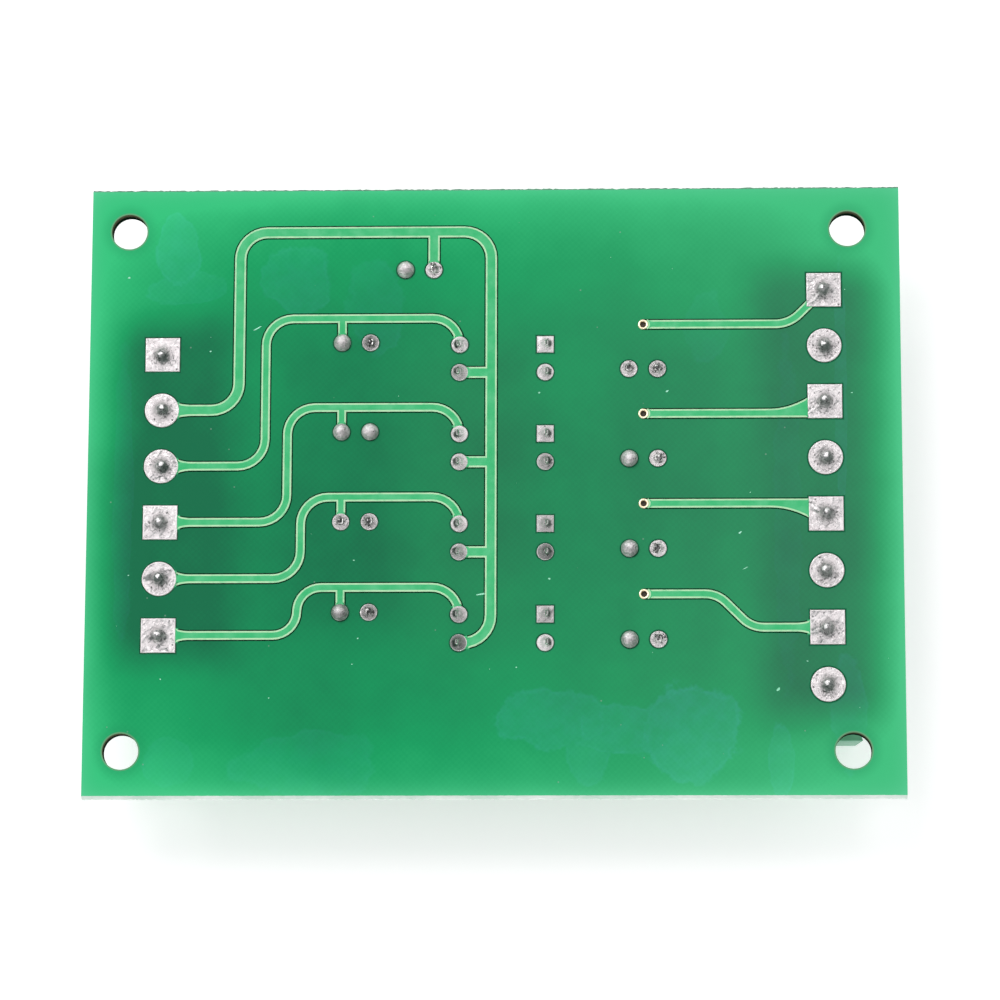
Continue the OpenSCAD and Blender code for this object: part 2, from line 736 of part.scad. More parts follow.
module coupler_lead() {
    middle = coupler_standoff + coupler_h / 2;
    outer_x = coupler_row / 2 + lead_t / 2;
    low = -board_t - lead_out;
    translate([coupler_l / 2, -shoulder_w / 2, middle - lead_t / 2])
        cube([outer_x - coupler_l / 2, shoulder_w, lead_t]);
    translate([outer_x - lead_t, -shoulder_w / 2, coupler_standoff])
        cube([lead_t, shoulder_w, coupler_h / 2 + lead_t / 2]);
    translate([outer_x - lead_t, -lead_w / 2, low])
        cube([lead_t, lead_w, coupler_standoff + shoulder_w - low]);
}
module optocoupler_leads(c) color("silver") on_component_side(coupler_x, channel_y(c))
    for (turn = [0, 180], side = [-1, 1])
        rotate([0, 0, turn]) translate([0, side * lead_pitch / 2, 0]) coupler_lead();

module lamp(p, tint) color(tint) on_component_side(p[0], p[1]) translate([0, 0, lamp_standoff]) {
    difference() {
        cylinder(r = flange_r, h = flange_h);
        translate([lamp_r, -flange_r - cut, -cut]) cube([flange_r, 2 * (flange_r + cut), flange_h + 2 * cut]);
    }
    cylinder(r = lamp_r, h = lamp_h - lamp_r);
    translate([0, 0, lamp_h - lamp_r]) sphere(r = lamp_r);
}
module input_lamps() for (c = [0:channels - 1]) lamp([input_lamp_x, input_lamp_y(c)], "tomato");
module output_lamps() for (c = [0:channels - 1]) lamp([output_lamp_x, output_lamp_y(c)], "tomato");
module power_lamp() lamp([power_lamp_x, power_lamp_y], "tomato");

module lamp_leads() color("silver") for (p = lamp_pad_places) on_component_side(p[0], p[1]) {
    low = -board_t - lead_out;
    translate([-lamp_lead_w / 2, -lamp_lead_w / 2, low])
        cube([lamp_lead_w, lamp_lead_w, lamp_standoff - low]);
}

module chip_resistor(p) on_component_side(p[0], p[1]) translate([0, 0, track_t]) {
    translate([-chip_l / 2, -chip_w / 2, 0]) cube([chip_l, chip_w, chip_h]);
    for (x = [-chip_l / 2, chip_l / 2 - cap_l])
        translate([x, -chip_w / 2 - cap_t, 0]) cube([cap_l, chip_w + 2 * cap_t, chip_h + cap_t]);
}
module input_resistors() color("dimgray") for (p = input_chips) chip_resistor(p);
module output_resistors() color("dimgray") for (p = output_chips) chip_resistor(p);

circuit_board();
solder_side_tracks();
component_side_tracks();
component_side_pads();
vias();
terminal_solder_joints();
coupler_solder_joints();
lamp_solder_joints();
for (b = [1:input_blocks])
    input_terminal(b - 1);
for (b = [1:output_blocks])
    output_terminal(b - 1);
input_contact_frames();
output_contact_frames();
for (i = [1:input_poles]) {
    input_screw(i - 1);
    input_wire_leaf(i - 1);
}
for (i = [1:output_poles]) {
    output_screw(i - 1);
    output_wire_leaf(i - 1);
}
for (c = [1:channels]) {
    optocoupler(c - 1);
    optocoupler_leads(c - 1);
}
input_lamps();
output_lamps();
power_lamp();
lamp_leads();
input_resistors();
output_resistors();
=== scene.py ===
import math
import random

import bmesh
import bpy
from bmesh.types import BMEdge, BMFace, BMVert
from mathutils import Matrix, Vector, noise


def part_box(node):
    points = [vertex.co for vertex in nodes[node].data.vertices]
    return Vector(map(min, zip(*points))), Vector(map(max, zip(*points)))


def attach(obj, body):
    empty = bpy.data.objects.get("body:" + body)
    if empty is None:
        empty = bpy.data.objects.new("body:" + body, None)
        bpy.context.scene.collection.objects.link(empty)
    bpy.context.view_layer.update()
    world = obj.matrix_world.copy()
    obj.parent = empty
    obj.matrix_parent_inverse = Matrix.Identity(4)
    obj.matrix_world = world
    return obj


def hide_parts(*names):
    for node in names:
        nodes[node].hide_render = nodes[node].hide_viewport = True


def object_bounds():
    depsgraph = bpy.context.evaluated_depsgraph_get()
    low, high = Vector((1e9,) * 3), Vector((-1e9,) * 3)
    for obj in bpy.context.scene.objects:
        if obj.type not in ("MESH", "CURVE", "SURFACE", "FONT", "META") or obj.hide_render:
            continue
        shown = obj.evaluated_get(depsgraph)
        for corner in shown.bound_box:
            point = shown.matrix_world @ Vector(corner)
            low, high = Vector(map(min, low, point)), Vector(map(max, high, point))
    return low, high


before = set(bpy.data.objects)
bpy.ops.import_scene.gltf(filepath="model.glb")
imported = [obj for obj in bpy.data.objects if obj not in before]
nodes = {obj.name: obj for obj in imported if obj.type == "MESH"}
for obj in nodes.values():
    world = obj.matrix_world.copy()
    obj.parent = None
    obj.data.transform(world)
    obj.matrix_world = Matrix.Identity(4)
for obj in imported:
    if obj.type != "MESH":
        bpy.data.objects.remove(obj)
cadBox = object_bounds()
mm = 0.001
print("frame loaded:", len(nodes), "nodes")

# heights and outlines that come straight from the frame
boardLow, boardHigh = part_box("circuit_board")
solderZ = boardHigh.z
seatZ = boardLow.z
halfX = boardHigh.x
webOut = 0.25 * mm  # the snapped web stands out past the faces
faceY = boardHigh.y - webOut
midZ = (solderZ + seatZ) / 2
blocks = {"input": 4, "output": 3}
blockNames = {
    side: ["%s_terminal_%d" % (side, i + 1) for i in range(count)] for side, count in blocks.items()
}
couplerNames = ["optocoupler_%d" % i for i in range(1, 5)]
lampNames = ["input_lamps", "output_lamps", "power_lamp"]


def boxOf(names):
    boxes = [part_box(name) for name in names]
    low = Vector([min(b[0][i] for b in boxes) for i in range(3)])
    high = Vector([max(b[1][i] for b in boxes) for i in range(3)])
    return low, high


# wiring helpers for node trees
class Wires:
    def __init__(self, tree):
        self.tree = tree

    def fill(self, node, values):
        for key, value in values.items():
            if isinstance(value, bpy.types.NodeSocket):
                self.tree.links.new(value, node.inputs[key])
            else:
                node.inputs[key].default_value = value

    def put(self, kind, values=None, **settings):
        node = self.tree.nodes.new(kind)
        for key, value in settings.items():
            setattr(node, key, value)
        self.fill(node, values or {})
        return node

    def calc(self, kind, a, b=0.0, clamp=False):
        return self.put("ShaderNodeMath", {0: a, 1: b}, operation=kind, use_clamp=clamp).outputs[0]

    def times(self, a, b, clamp=False):
        return self.calc("MULTIPLY", a, b, clamp)

    def plus(self, a, b):
        return self.calc("ADD", a, b)

    def minus(self, a, b):
        return self.calc("SUBTRACT", a, b)

    def gather(self, kind, values):
        total = values[0]
        for value in values[1:]:
            total = self.calc(kind, total, value)
        return total

    def length(self, x, y):
        return self.calc("SQRT", self.plus(self.times(x, x), self.times(y, y)))

    def vector(self, kind, a, b, socket=1):
        return self.put("ShaderNodeVectorMath", {0: a, socket: b}, operation=kind).outputs

    def noise(self, place, scale, detail, **more):
        values = {"Vector": place, "Scale": scale, "Detail": detail, **more}
        return self.put("ShaderNodeTexNoise", values).outputs

    def blend(self, share, a, b, kind="MIX"):
        a, b = [(*c, 1) if isinstance(c, tuple) else c for c in (a, b)]
        return self.put("ShaderNodeMix", {0: share, 6: a, 7: b}, data_type="RGBA", blend_type=kind).outputs[2]

    def remap(self, value, low, high, toLow=0.0, toHigh=1.0):
        values = {0: value, 1: low, 2: high, 3: toLow, 4: toHigh}
        return self.put("ShaderNodeMapRange", values, interpolation_type="SMOOTHSTEP").outputs[0]

    def spread(self, value, low, high):
        return self.remap(value, 0.0, 1.0, low, high)

    def ramp(self, value, stops):
        node = self.put("ShaderNodeValToRGB", {0: value})
        ramp = node.color_ramp
        while len(ramp.elements) < len(stops):
            ramp.elements.new(0.5)
        for element, (place, colour) in zip(ramp.elements, stops):
            element.position = place
            element.color = (*colour, 1)
        return node.outputs[0]

    def group(self, tree, values):
        return self.put("ShaderNodeGroup", values, node_tree=tree).outputs

    def shade(self, kind, *values):
        return self.put("ShaderNode" + kind, dict(enumerate(values))).outputs[0]

    def place(self):
        coords = self.put("ShaderNodeTexCoord").outputs["Object"]
        return self.vector("SCALE", coords, 1 / mm, 3)[0]  # in mm

    def axes(self):
        return self.put("ShaderNodeSeparateXYZ", {0: self.place()}).outputs


def newGroup(name, inputs, outputs):
    tree = bpy.data.node_groups.new(name, "ShaderNodeTree")
    for label, value in inputs.items():
        tree.interface.new_socket(label, in_out="INPUT", socket_type="NodeSocketFloat").default_value = value
    for label in outputs:
        tree.interface.new_socket(label, in_out="OUTPUT", socket_type="NodeSocketFloat")
    wires = Wires(tree)
    return tree, wires, wires.put("NodeGroupInput").outputs, wires.put("NodeGroupOutput")


# cloudy variation: noise on the piece's own coordinates, in mm
cloudTree, w, gi, go = newGroup("cloud", {"Scale": 1.0, "Detail": 3.0, "Low": 0.4, "High": 0.6}, ["Mask"])
n = w.noise(w.place(), gi["Scale"], gi["Detail"], Roughness=0.6)
w.fill(go, {"Mask": w.remap(n[0], gi["Low"], gi["High"])})

# scattered specks, one cell in a few carries one
speckTree, w, gi, go = newGroup("specks", {"Scale": 1.0, "Size": 0.2, "Share": 0.3, "Warp": 0.0}, ["Mask"])
place = w.place()
push = w.vector("SUBTRACT", w.noise(place, 7.0, 2.0)["Color"], (0.5, 0.5, 0.5))[0]
bent = w.vector("ADD", place, w.vector("SCALE", push, gi["Warp"], 3)[0])[0]
n = w.put("ShaderNodeTexVoronoi", {"Vector": bent, "Scale": gi["Scale"]}).outputs
near = w.remap(n["Distance"], gi["Size"], w.times(gi["Size"], 0.6))
pick = w.calc("LESS_THAN", w.put("ShaderNodeSeparateColor", {0: n["Color"]}).outputs[0], gi["Share"])
w.fill(go, {"Mask": w.times(near, pick)})

# a soft-edged patch with an uneven outline, such as dried flux
patchTree, w, gi, go = newGroup(
    "softPatch",
    {"Centre X": 0.0, "Centre Y": 0.0, "Reach X": 5.0, "Reach Y": 5.0,
     "Soft": 0.14, "Wobble": 1.1, "Grain": 0.33},
    ["Mask", "Rim"],
)
xyz = w.axes()
dx = w.calc("DIVIDE", w.minus(xyz[0], gi["Centre X"]), gi["Reach X"])
dy = w.calc("DIVIDE", w.minus(xyz[1], gi["Centre Y"]), gi["Reach Y"])
n = w.noise(w.place(), gi["Grain"], 4.0, Roughness=0.6)
away = w.plus(w.length(dx, dy), w.times(w.minus(n[0], 0.5), gi["Wobble"]))
fromRim = w.calc("ABSOLUTE", w.minus(away, 0.92))
w.fill(go, {"Mask": w.remap(away, 1.0, w.minus(1.0, gi["Soft"])), "Rim": w.remap(fromRim, 0.1, 0.0)})

# a soft-edged rectangle across the board, in mm
boxTree, w, gi, go = newGroup(
    "softBox", {"Left": -1.0, "Right": 1.0, "Low": -1.0, "High": 1.0, "Soft": 1.0}, ["Mask"]
)
xyz = w.axes()
insets = [
    w.minus(xyz[0], gi["Left"]), w.minus(gi["Right"], xyz[0]),
    w.minus(xyz[1], gi["Low"]), w.minus(gi["High"], xyz[1]),
]
negSoft = w.times(gi["Soft"], -1.0)
w.fill(go, {"Mask": w.gather("MULTIPLY", [w.remap(inset, negSoft, gi["Soft"]) for inset in insets])})

# painted light: brighter towards the board's open edges, where light soaks into the laminate
glowTree, w, gi, go = newGroup("edgeGlow", {"Half X": 36.0, "Half Y": 27.0, "Fade": 9.0}, ["Glow"])
xyz = w.axes()
terms = []
for axis, half in ((0, "Half X"), (1, "Half Y")):
    for sign in (1.0, -1.0):
        inset = w.minus(gi[half], w.times(xyz[axis], sign))
        terms.append(w.calc("EXPONENT", w.times(w.calc("DIVIDE", inset, gi["Fade"]), -1.0)))
w.fill(go, {"Glow": w.gather("ADD", terms)})

# fine streaks, drawn out along one axis
streakTree, w, gi, go = newGroup(
    "streaks", {"Along X": 0.2, "Along Y": 4.0, "Along Z": 4.0, "Low": 0.5, "High": 0.7}, ["Mask"]
)
stretch = w.put("ShaderNodeCombineXYZ", {0: gi["Along X"], 1: gi["Along Y"], 2: gi["Along Z"]}).outputs[0]
n = w.noise(w.vector("MULTIPLY", w.place(), stretch)[0], 1.0, 3.0)
w.fill(go, {"Mask": w.remap(n[0], gi["Low"], gi["High"])})
print("node groups built")


def cloud(w, scale, detail, low, high):
    return w.group(cloudTree, {"Scale": scale, "Detail": detail, "Low": low, "High": high})["Mask"]


def specks(w, scale, size, share, warp=0.0):
    return w.group(speckTree, {"Scale": scale, "Size": size, "Share": share, "Warp": warp})["Mask"]


def softBox(w, left, right, low, high, soft):
    return w.group(boxTree, {"Left": left, "Right": right, "Low": low, "High": high, "Soft": soft})["Mask"]


def newFinish(name):
    material = bpy.data.materials.new(name)
    material.use_nodes = True
    material.node_tree.nodes.clear()
    wires = Wires(material.node_tree)
    shader = wires.put("ShaderNodeBsdfPrincipled")
    wires.put("ShaderNodeOutputMaterial", {0: shader.outputs[0]})
    return material, wires, shader


def roughen(wires, shader, height, strength, distance=0.02):
    bump = wires.put("ShaderNodeBump", {"Strength": strength, "Distance": distance * mm, "Height": height})
    wires.fill(shader, {"Normal": bump.outputs[0]})


# the masked laminate
boardLook = {
    "deep": (0.012, 0.178, 0.078), "mid": (0.012, 0.255, 0.099), "plain": (0.012, 0.378, 0.130),
    "lit": (0.040, 0.60, 0.222), "edge": (0.84, 0.91, 0.85), "edgeDull": (0.62, 0.76, 0.65),
    "rim": (0.22, 0.36, 0.22), "glowRim": (0.26, 0.84, 0.56),
    "stain": (0.018, 0.036, 0.100), "speckAndSheen": (0.30, 0.42, 0.36), "brown": (0.075, 0.165, 0.10),
    "levels": (0.185, 0.262, 0.385, 0.60),  # where deep, mid, plain and lit are reached
    "base": 0.245, "farGlow": 0.27, "farFade": 9.0, "nearGlow": 0.09, "nearFade": 2.2,
    "rimGlow": 0.17, "rimFade": 0.7,
    # painted shade, darker: under the blocks and couplers, in the left half and in the lower band
    "coverShare": 0.9, "coverDrop": 0.035, "couplerDrop": 0.028, "leftDrop": 0.03, "lowDrop": 0.05,
    "coverSoft": 2.8, "coverInset": 0.6, "couplerSoft": 1.6,
    "coverGrow": {"input": (2.4, 1.0), "output": (0.0, 2.6)},  # left, right
    "cloudSwing": 0.045, "weaveSwing": 0.010, "weaveTurn": 11.0,
    "brownShare": 0.12, "sheenShare": 0.085, "speckShare": 0.5,
    # painted shade, darker patches (a negative drop paints light): left, right, low, high, softness, drop
    "shades": [
        (-34.0, -12.0, -25.0, -15.0, 4.0, 0.045), (-40.0, -31.5, -40.0, 3.0, 2.5, 0.075),
        (-26.0, -8.0, -14.0, -1.0, 4.0, 0.035), (-18.5, -8.5, -13.0, 16.0, 3.0, 0.032),
        (12.0, 21.5, -18.0, 13.0, 3.0, 0.035), (-40.0, 40.0, -30.0, -25.0, 1.5, 0.03),
        (-40.0, -14.0, 25.4, 30.0, 1.0, -0.04),
    ],
    # dried flux: centre x, y, reach x, y, strength
    "fluxMarks": [
        (17.3, -21.7, 4.6, 4.4, 1.0), (11.4, -21.4, 4.2, 2.3, 0.8), (4.8, -20.6, 5.4, 2.6, 0.75),
        (8.3, -23.6, 2.0, 3.2, 0.6), (25.2, -24.2, 1.2, 3.4, 0.7), (-28.4, 21.9, 2.0, 3.4, 0.75),
        (-27.4, 18.3, 3.4, 1.6, 0.45), (-17.6, 19.2, 3.2, 3.6, 0.55), (-28.6, -24.6, 2.4, 2.2, 0.35),
        (-16.0, -24.6, 6.5, 3.0, 0.4), (-10.5, 16.5, 3.0, 4.5, 0.35), (19.0, 14.8, 2.0, 3.4, 0.3),
        (30.8, 9.0, 0.55, 12.0, 0.5), (26.0, -2.0, 1.3, 15.0, 0.2), (-33.0, 0.0, 0.9, 14.0, 0.25),
        (31.2, -20.0, 1.6, 5.0, 0.5),
    ],
}
# mounting holes: distances from the board's edges, and radii that hold a wall and keep dust away
mounting = {"left": 3.36, "right": 4.63, "top": 3.72, "bottom": 3.94, "wall": 1.75, "clear": 1.9}
holes = [
    (x, y) for x in (-halfX + mounting["left"] * mm, halfX - mounting["right"] * mm)
    for y in (faceY - mounting["top"] * mm, -faceY + mounting["bottom"] * mm)
]
maskGreen, w, shader = newFinish("solderMaskGreen")
xyz = w.axes()
halves = {"Half X": halfX / mm, "Half Y": faceY / mm}
# painted light and shade: a level, raised towards the open edges and lowered over the parts under the board,
# picks the laminate's tone from the deep-to-lit ramp
far, close, rimGlow = [
    w.group(glowTree, {**halves, "Fade": boardLook[key]})["Glow"]
    for key in ("farFade", "nearFade", "rimFade")
]
covers = []
for side, (growLeft, growRight) in boardLook["coverGrow"].items():
    low, high = (corner / mm for corner in boxOf(blockNames[side]))
    low += Vector((-growLeft, boardLook["coverInset"], 0))
    high += Vector((growRight, -boardLook["coverInset"], 0))
    covers.append(softBox(w, low.x, high.x, low.y, high.y, boardLook["coverSoft"]))
covered = w.gather("MAXIMUM", covers)
parts = []
for name in couplerNames:
    low, high = (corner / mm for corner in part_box(name))
    parts.append(softBox(w, low.x, high.x, low.y, high.y, boardLook["couplerSoft"]))
uncovered = w.minus(1.0, w.times(covered, boardLook["coverShare"]))
level = w.times(w.times(far, uncovered), boardLook["farGlow"])
level = w.plus(level, w.times(close, boardLook["nearGlow"]))
level = w.plus(level, boardLook["base"])
# painted shade: the level drops under the blocks and couplers, in the left half, in the lower band and in the
# patches listed above
drops = [
    (covered, boardLook["coverDrop"]), (w.gather("ADD", parts), boardLook["couplerDrop"]),
    (w.remap(xyz[0], 6.0, -20.0), boardLook["leftDrop"]),
    (w.remap(xyz[1], -12.0, -27.0), boardLook["lowDrop"]),
]
drops += [(softBox(w, *shade[:5]), shade[5]) for shade in boardLook["shades"]]
for mask, drop in drops:
    level = w.minus(level, w.times(mask, drop))
patchy = cloud(w, 0.12, 4.0, 0.3, 0.7)
level = w.plus(level, w.times(w.minus(patchy, 0.5), boardLook["cloudSwing"]))
weave = w.gather("MULTIPLY", [w.calc("SINE", w.times(xyz[axis], boardLook["weaveTurn"])) for axis in (0, 1)])
level = w.plus(level, w.times(weave, boardLook["weaveSwing"]))
tones = [boardLook[key] for key in ("deep", "mid", "plain", "lit")]
colour = w.ramp(level, list(zip(boardLook["levels"], tones)))
marks = []
for cx, cy, rx, ry, strength in boardLook["fluxMarks"]:
    patch = w.group(patchTree, {"Centre X": cx, "Centre Y": cy, "Reach X": rx, "Reach Y": ry})
    mark = w.plus(w.times(patch["Mask"], 0.6), w.times(patch["Rim"], 0.4))
    marks.append(w.times(mark, strength))
streaky = cloud(w, 0.9, 5.0, 0.3, 0.7)
stained = w.times(w.gather("MAXIMUM", marks), w.plus(w.times(streaky, 0.6), 0.5))
stained = w.times(stained, w.remap(xyz[2], midZ / mm, solderZ / mm))  # on the soldered face only
brown = softBox(w, -8.0, 3.0, -14.0, 14.0, 6.0)
colour = w.blend(w.times(brown, boardLook["brownShare"]), colour, boardLook["brown"])
colour = w.blend(stained, colour, boardLook["stain"], "ADD")
# painted sheen: the laminate paler towards the right; the same pale tone also colours the grit specks
paintedSheen = w.times(w.remap(xyz[0], -12.0, 34.0), boardLook["sheenShare"])
colour = w.blend(paintedSheen, colour, boardLook["speckAndSheen"])
grit = specks(w, 0.55, 0.05, 0.32)
colour = w.blend(w.times(grit, boardLook["speckShare"]), colour, boardLook["speckAndSheen"])
# bare laminate on the cut edges and a pale rim where the mask stops at each mounting hole
flat = w.vector("MULTIPLY", w.place(), (1, 1, 0))[0]
gaps = [w.vector("DISTANCE", flat, (hx / mm, hy / mm, 0))["Value"] for hx, hy in holes]
nearest = w.gather("MINIMUM", gaps)
colour = w.blend(w.times(w.remap(nearest, 2.9, 1.6), 0.28), colour, boardLook["mid"])
colour = w.blend(w.times(w.remap(nearest, 1.76, 1.69), 0.6), colour, boardLook["rim"])
# painted light: a brighter band just inside the board's edges
colour = w.blend(w.times(rimGlow, boardLook["rimGlow"], clamp=True), colour, boardLook["glowRim"])
cutEdge = w.remap(w.calc("ABSOLUTE", w.minus(xyz[2], midZ / mm)), 0.795, 0.775)
grainRun = {"Along X": 1.6, "Along Y": 1.6, "Along Z": 14.0, "Low": 0.35, "High": 0.65}
fibre = w.group(streakTree, grainRun)["Mask"]
colour = w.blend(cutEdge, colour, w.blend(fibre, boardLook["edgeDull"], boardLook["edge"]))
gloss = cloud(w, 0.35, 4.0, 0.25, 0.75)
w.fill(shader, {
    "Base Color": colour, "Roughness": w.spread(gloss, 0.30, 0.42),
    "IOR": 1.45, "Specular IOR Level": 0.04,
})
ripple = cloud(w, 2.4, 3.0, 0.2, 0.8)
roughen(w, shader, w.plus(ripple, w.times(weave, 0.25)), 0.12)

# mask over copper: a lit top, a pale shoulder where the mask runs thin, partly a painted highlight, and a
# near-black foot where the mask pools, partly painted shade
trackLook = {
    "top": (0.060, 0.55, 0.205), "topPale": (0.130, 0.63, 0.285), "shoulder": (0.56, 0.88, 0.54),
    "shoulderDull": (0.30, 0.76, 0.40), "foot": (0.002, 0.030, 0.011),
    "shoulderWidth": 0.15, "footWidth": 0.13, "shoulderDrop": 0.045, "padReach": 0.13, "sink": 0.004,
}


def maskedCopper(name, a, b, scale, low, high, rough):
    material, w, shader = newFinish(name)
    fine = cloud(w, 6.0, 3.0, 0.3, 0.7)
    w.fill(shader, {
        "Base Color": w.blend(cloud(w, scale, 4.0, low, high), a, b),
        "Roughness": w.spread(fine, rough - 0.05, rough + 0.08), "IOR": 1.45, "Specular IOR Level": 0.05,
    })
    roughen(w, shader, fine, 0.18)
    return material


trackTop = maskedCopper("trackTop", trackLook["top"], trackLook["topPale"], 0.7, 0.3, 0.75, 0.34)
trackShoulder = maskedCopper(
    "trackShoulder", trackLook["shoulder"], trackLook["shoulderDull"], 1.3, 0.42, 0.8, 0.36
)
trackFootShade = maskedCopper("trackFootShade", trackLook["foot"], (0.004, 0.07, 0.03), 1.5, 0.35, 0.75, 0.4)

# solder: bright rim, greyer floor, painted shade in the hollow beside the pin, pits, painted highlights
solderLook = {
    "bright": (0.88, 0.83, 0.835), "warm": (0.80, 0.73, 0.74), "grey": (0.46, 0.44, 0.445),
    "paintedShade": (0.10, 0.125, 0.115), "pit": (0.022, 0.026, 0.025), "shine": (0.96, 0.93, 0.93),
    "black": (0.035, 0.038, 0.038), "tarnished": (0.10, 0.105, 0.10),
}


def solderFinish(name, mottle, floorGrey, pitShare, bump, glint, crack, hollow):
    material, w, shader = newFinish(name)

    def read(label):
        return w.put("ShaderNodeAttribute", attribute_name=label).outputs["Fac"]

    place = w.place()
    rightward = w.remap(w.axes()[0], -5.0, 24.0)  # the input side is the dirtier one
    colour = w.blend(cloud(w, 1.3, 5.0, 0.3, 0.7), solderLook["bright"], solderLook["warm"])
    grainy = cloud(w, 4.2, 6.0, 0.34, 0.68)
    inside = w.remap(read("rimIn"), 0.035, 0.10)
    grey = w.plus(w.plus(w.times(grainy, mottle), floorGrey), w.times(rightward, 0.1))
    sx, sy, paintedShade, dome = (read(label) for label in ("spotX", "spotY", "paintedShade", "domed"))
    warp = w.noise(place, 3.2, 6.0, Roughness=0.7)[0]
    uneven = w.minus(warp, 0.5)
    away = w.plus(w.length(sx, sy), w.times(uneven, 1.9))
    # smears drawn across the pad, aslant
    turned = w.put("ShaderNodeVectorRotate", {"Vector": place, "Angle": 0.75}, rotation_type="Z_AXIS")
    drawn = w.vector("MULTIPLY", turned.outputs[0], (2.3, 1.0, 1.0))[0]
    drag = w.noise(drawn, 1.0, 4.0, Distortion=0.9)[0]
    smear = w.times(read("smudge"), inside)
    # pits all over and blots near the pin
    blots = w.times(specks(w, 3.4, 0.42, 0.45, 0.22), w.remap(away, 1.5, 0.8))
    share = w.plus(w.times(rightward, 0.12), pitShare)
    fine = w.times(specks(w, 6.0, 0.34, share, 0.12), 0.6)
    pits = w.calc("MAXIMUM", specks(w, 3.1, 0.30, share, 0.3), fine)
    pits = w.calc("MAXIMUM", w.times(pits, inside), w.times(blots, paintedShade))
    # drawn-up joints crack, domed ones do not
    split = w.remap(w.noise(place, 1.7, 2.5, Distortion=2.4)[0], 0.56, 0.60)
    split = w.times(w.times(split, w.times(inside, w.minus(1.0, dome))), crack)
    split = w.times(split, w.remap(away, 2.1, 1.3))
    # a track's edge under the tin: painted shade on each side of it, a painted highlight along it
    across = w.calc("ABSOLUTE", w.plus(read("seamV"), w.times(uneven, 0.5)))
    crease = w.times(w.remap(across, 0.30, 0.10), w.remap(across, 0.04, 0.1))
    crease = w.times(crease, w.remap(warp, 0.40, 0.58))
    # painted highlight: light caught on the upper left of the pin or dome
    tip = w.length(w.plus(sx, w.spread(dome, 0.22, 1.1)), w.minus(sy, w.spread(dome, 0.34, 1.2)))
    brokenTip = w.plus(tip, w.times(w.minus(grainy, 0.5), 0.3))
    for mask, key in (
        (w.times(inside, grey, clamp=True), "grey"),
        (w.times(inside, read("tarnish")), "tarnished"),
        # painted shade: the dark hollow beside the pin
        (w.times(w.remap(away, 1.1, 0.5), paintedShade), hollow),
        (w.times(w.remap(drag, 0.44, 0.62), smear), "grey"),
        (w.times(w.remap(drag, 0.57, 0.70), smear), hollow),
        (w.times(pits, 0.85), "pit"),
        (w.times(dome, w.times(cloud(w, 2.6, 5.0, 0.46, 0.60), 0.45)), "grey"),
        (w.times(dome, w.times(cloud(w, 3.6, 4.0, 0.56, 0.66), 0.35)), "pit"),
        (split, "pit"),
        # painted shade and highlight along the track's edge
        (w.times(crease, 0.9), "paintedShade"),
        (w.times(w.remap(across, 0.08, 0.02), 0.5), "shine"),
        # painted highlights on the pin tip and dome
        (w.times(w.remap(tip, 1.0, 0.1), w.times(dome, 0.6)), "shine"),
        (w.remap(brokenTip, glint, glint * 0.6), "shine"),
    ):
        colour = w.blend(mask, colour, solderLook[key])
    w.fill(shader, {"Base Color": colour, "Roughness": w.spread(grainy, 0.3, 0.46), "Metallic": 0.42})
    roughen(w, shader, w.minus(grainy, w.times(w.plus(pits, split), 0.8)), bump, 0.05)
    return material


terminalTin = solderFinish("terminalSolder", 0.32, 0.02, 0.12, 0.5, 0.32, 0.5, "paintedShade")
couplerTin = solderFinish("couplerSolder", 0.10, 0.0, 0.06, 0.4, 0.0, 0.0, "black")
lampTin = solderFinish("lampSolder", 0.10, 0.0, 0.06, 0.9, 0.22, 0.95, "black")

# painted shade: a dark ring where the mask opening steps down around each pad; the mask lip beyond it takes
# the board's deeper tones, a painted shade ring where the board is brighter
openingShade = maskedCopper("maskOpeningShade", (0.006, 0.065, 0.029), (0.016, 0.14, 0.065), 2.0, 0.35, 0.65, 0.45)
lipGreen = maskedCopper("maskLip", (0.012, 0.17, 0.075), (0.03, 0.30, 0.14), 0.8, 0.45, 0.8, 0.35)


def metalFinish(name, bright, shade, rough, scale=2.0, strength=0.25, streakAxis=None):
    material, w, shader = newFinish(name)
    tone = cloud(w, scale, 5.0, 0.3, 0.72)
    colour = w.blend(tone, bright, shade)
    pits = specks(w, scale * 1.7, 0.12, 0.2)
    colour = w.blend(w.times(pits, 0.6), colour, tuple(c * 0.4 for c in shade))
    w.fill(shader, {"Base Color": colour, "Roughness": w.spread(tone, rough, rough + 0.16), "Metallic": 1.0})
    height = tone
    if streakAxis:
        along = {"Along X": 5.0, "Along Y": 5.0, "Along Z": 5.0, "Along " + streakAxis: 0.4}
        height = w.group(streakTree, {**along, "Low": 0.3, "High": 0.7})["Mask"]
    roughen(w, shader, height, strength)
    return material


viaCopper = metalFinish("tinnedCopperRing", (0.95, 0.86, 0.66), (0.86, 0.70, 0.46), 0.3, 3.0)
padTin = metalFinish("padTin", (0.80, 0.79, 0.76), (0.58, 0.57, 0.55), 0.28, 1.6)
platedStrip = metalFinish("platedStrip", (0.72, 0.73, 0.74), (0.55, 0.56, 0.57), 0.3, 1.1, 0.3, "Z")
platedScrew = metalFinish("platedScrew", (0.74, 0.74, 0.73), (0.52, 0.52, 0.52), 0.26, 1.6, 0.3, "X")
leafBrass = metalFinish("leafBrass", (0.72, 0.58, 0.30), (0.50, 0.38, 0.18), 0.32, 1.4, 0.3, "Y")
tinnedLead = metalFinish("tinnedLead", (0.78, 0.77, 0.75), (0.56, 0.55, 0.54), 0.26, 1.8, 0.25, "Z")
capTin = metalFinish("capTin", (0.76, 0.75, 0.73), (0.58, 0.57, 0.55), 0.34, 2.6)


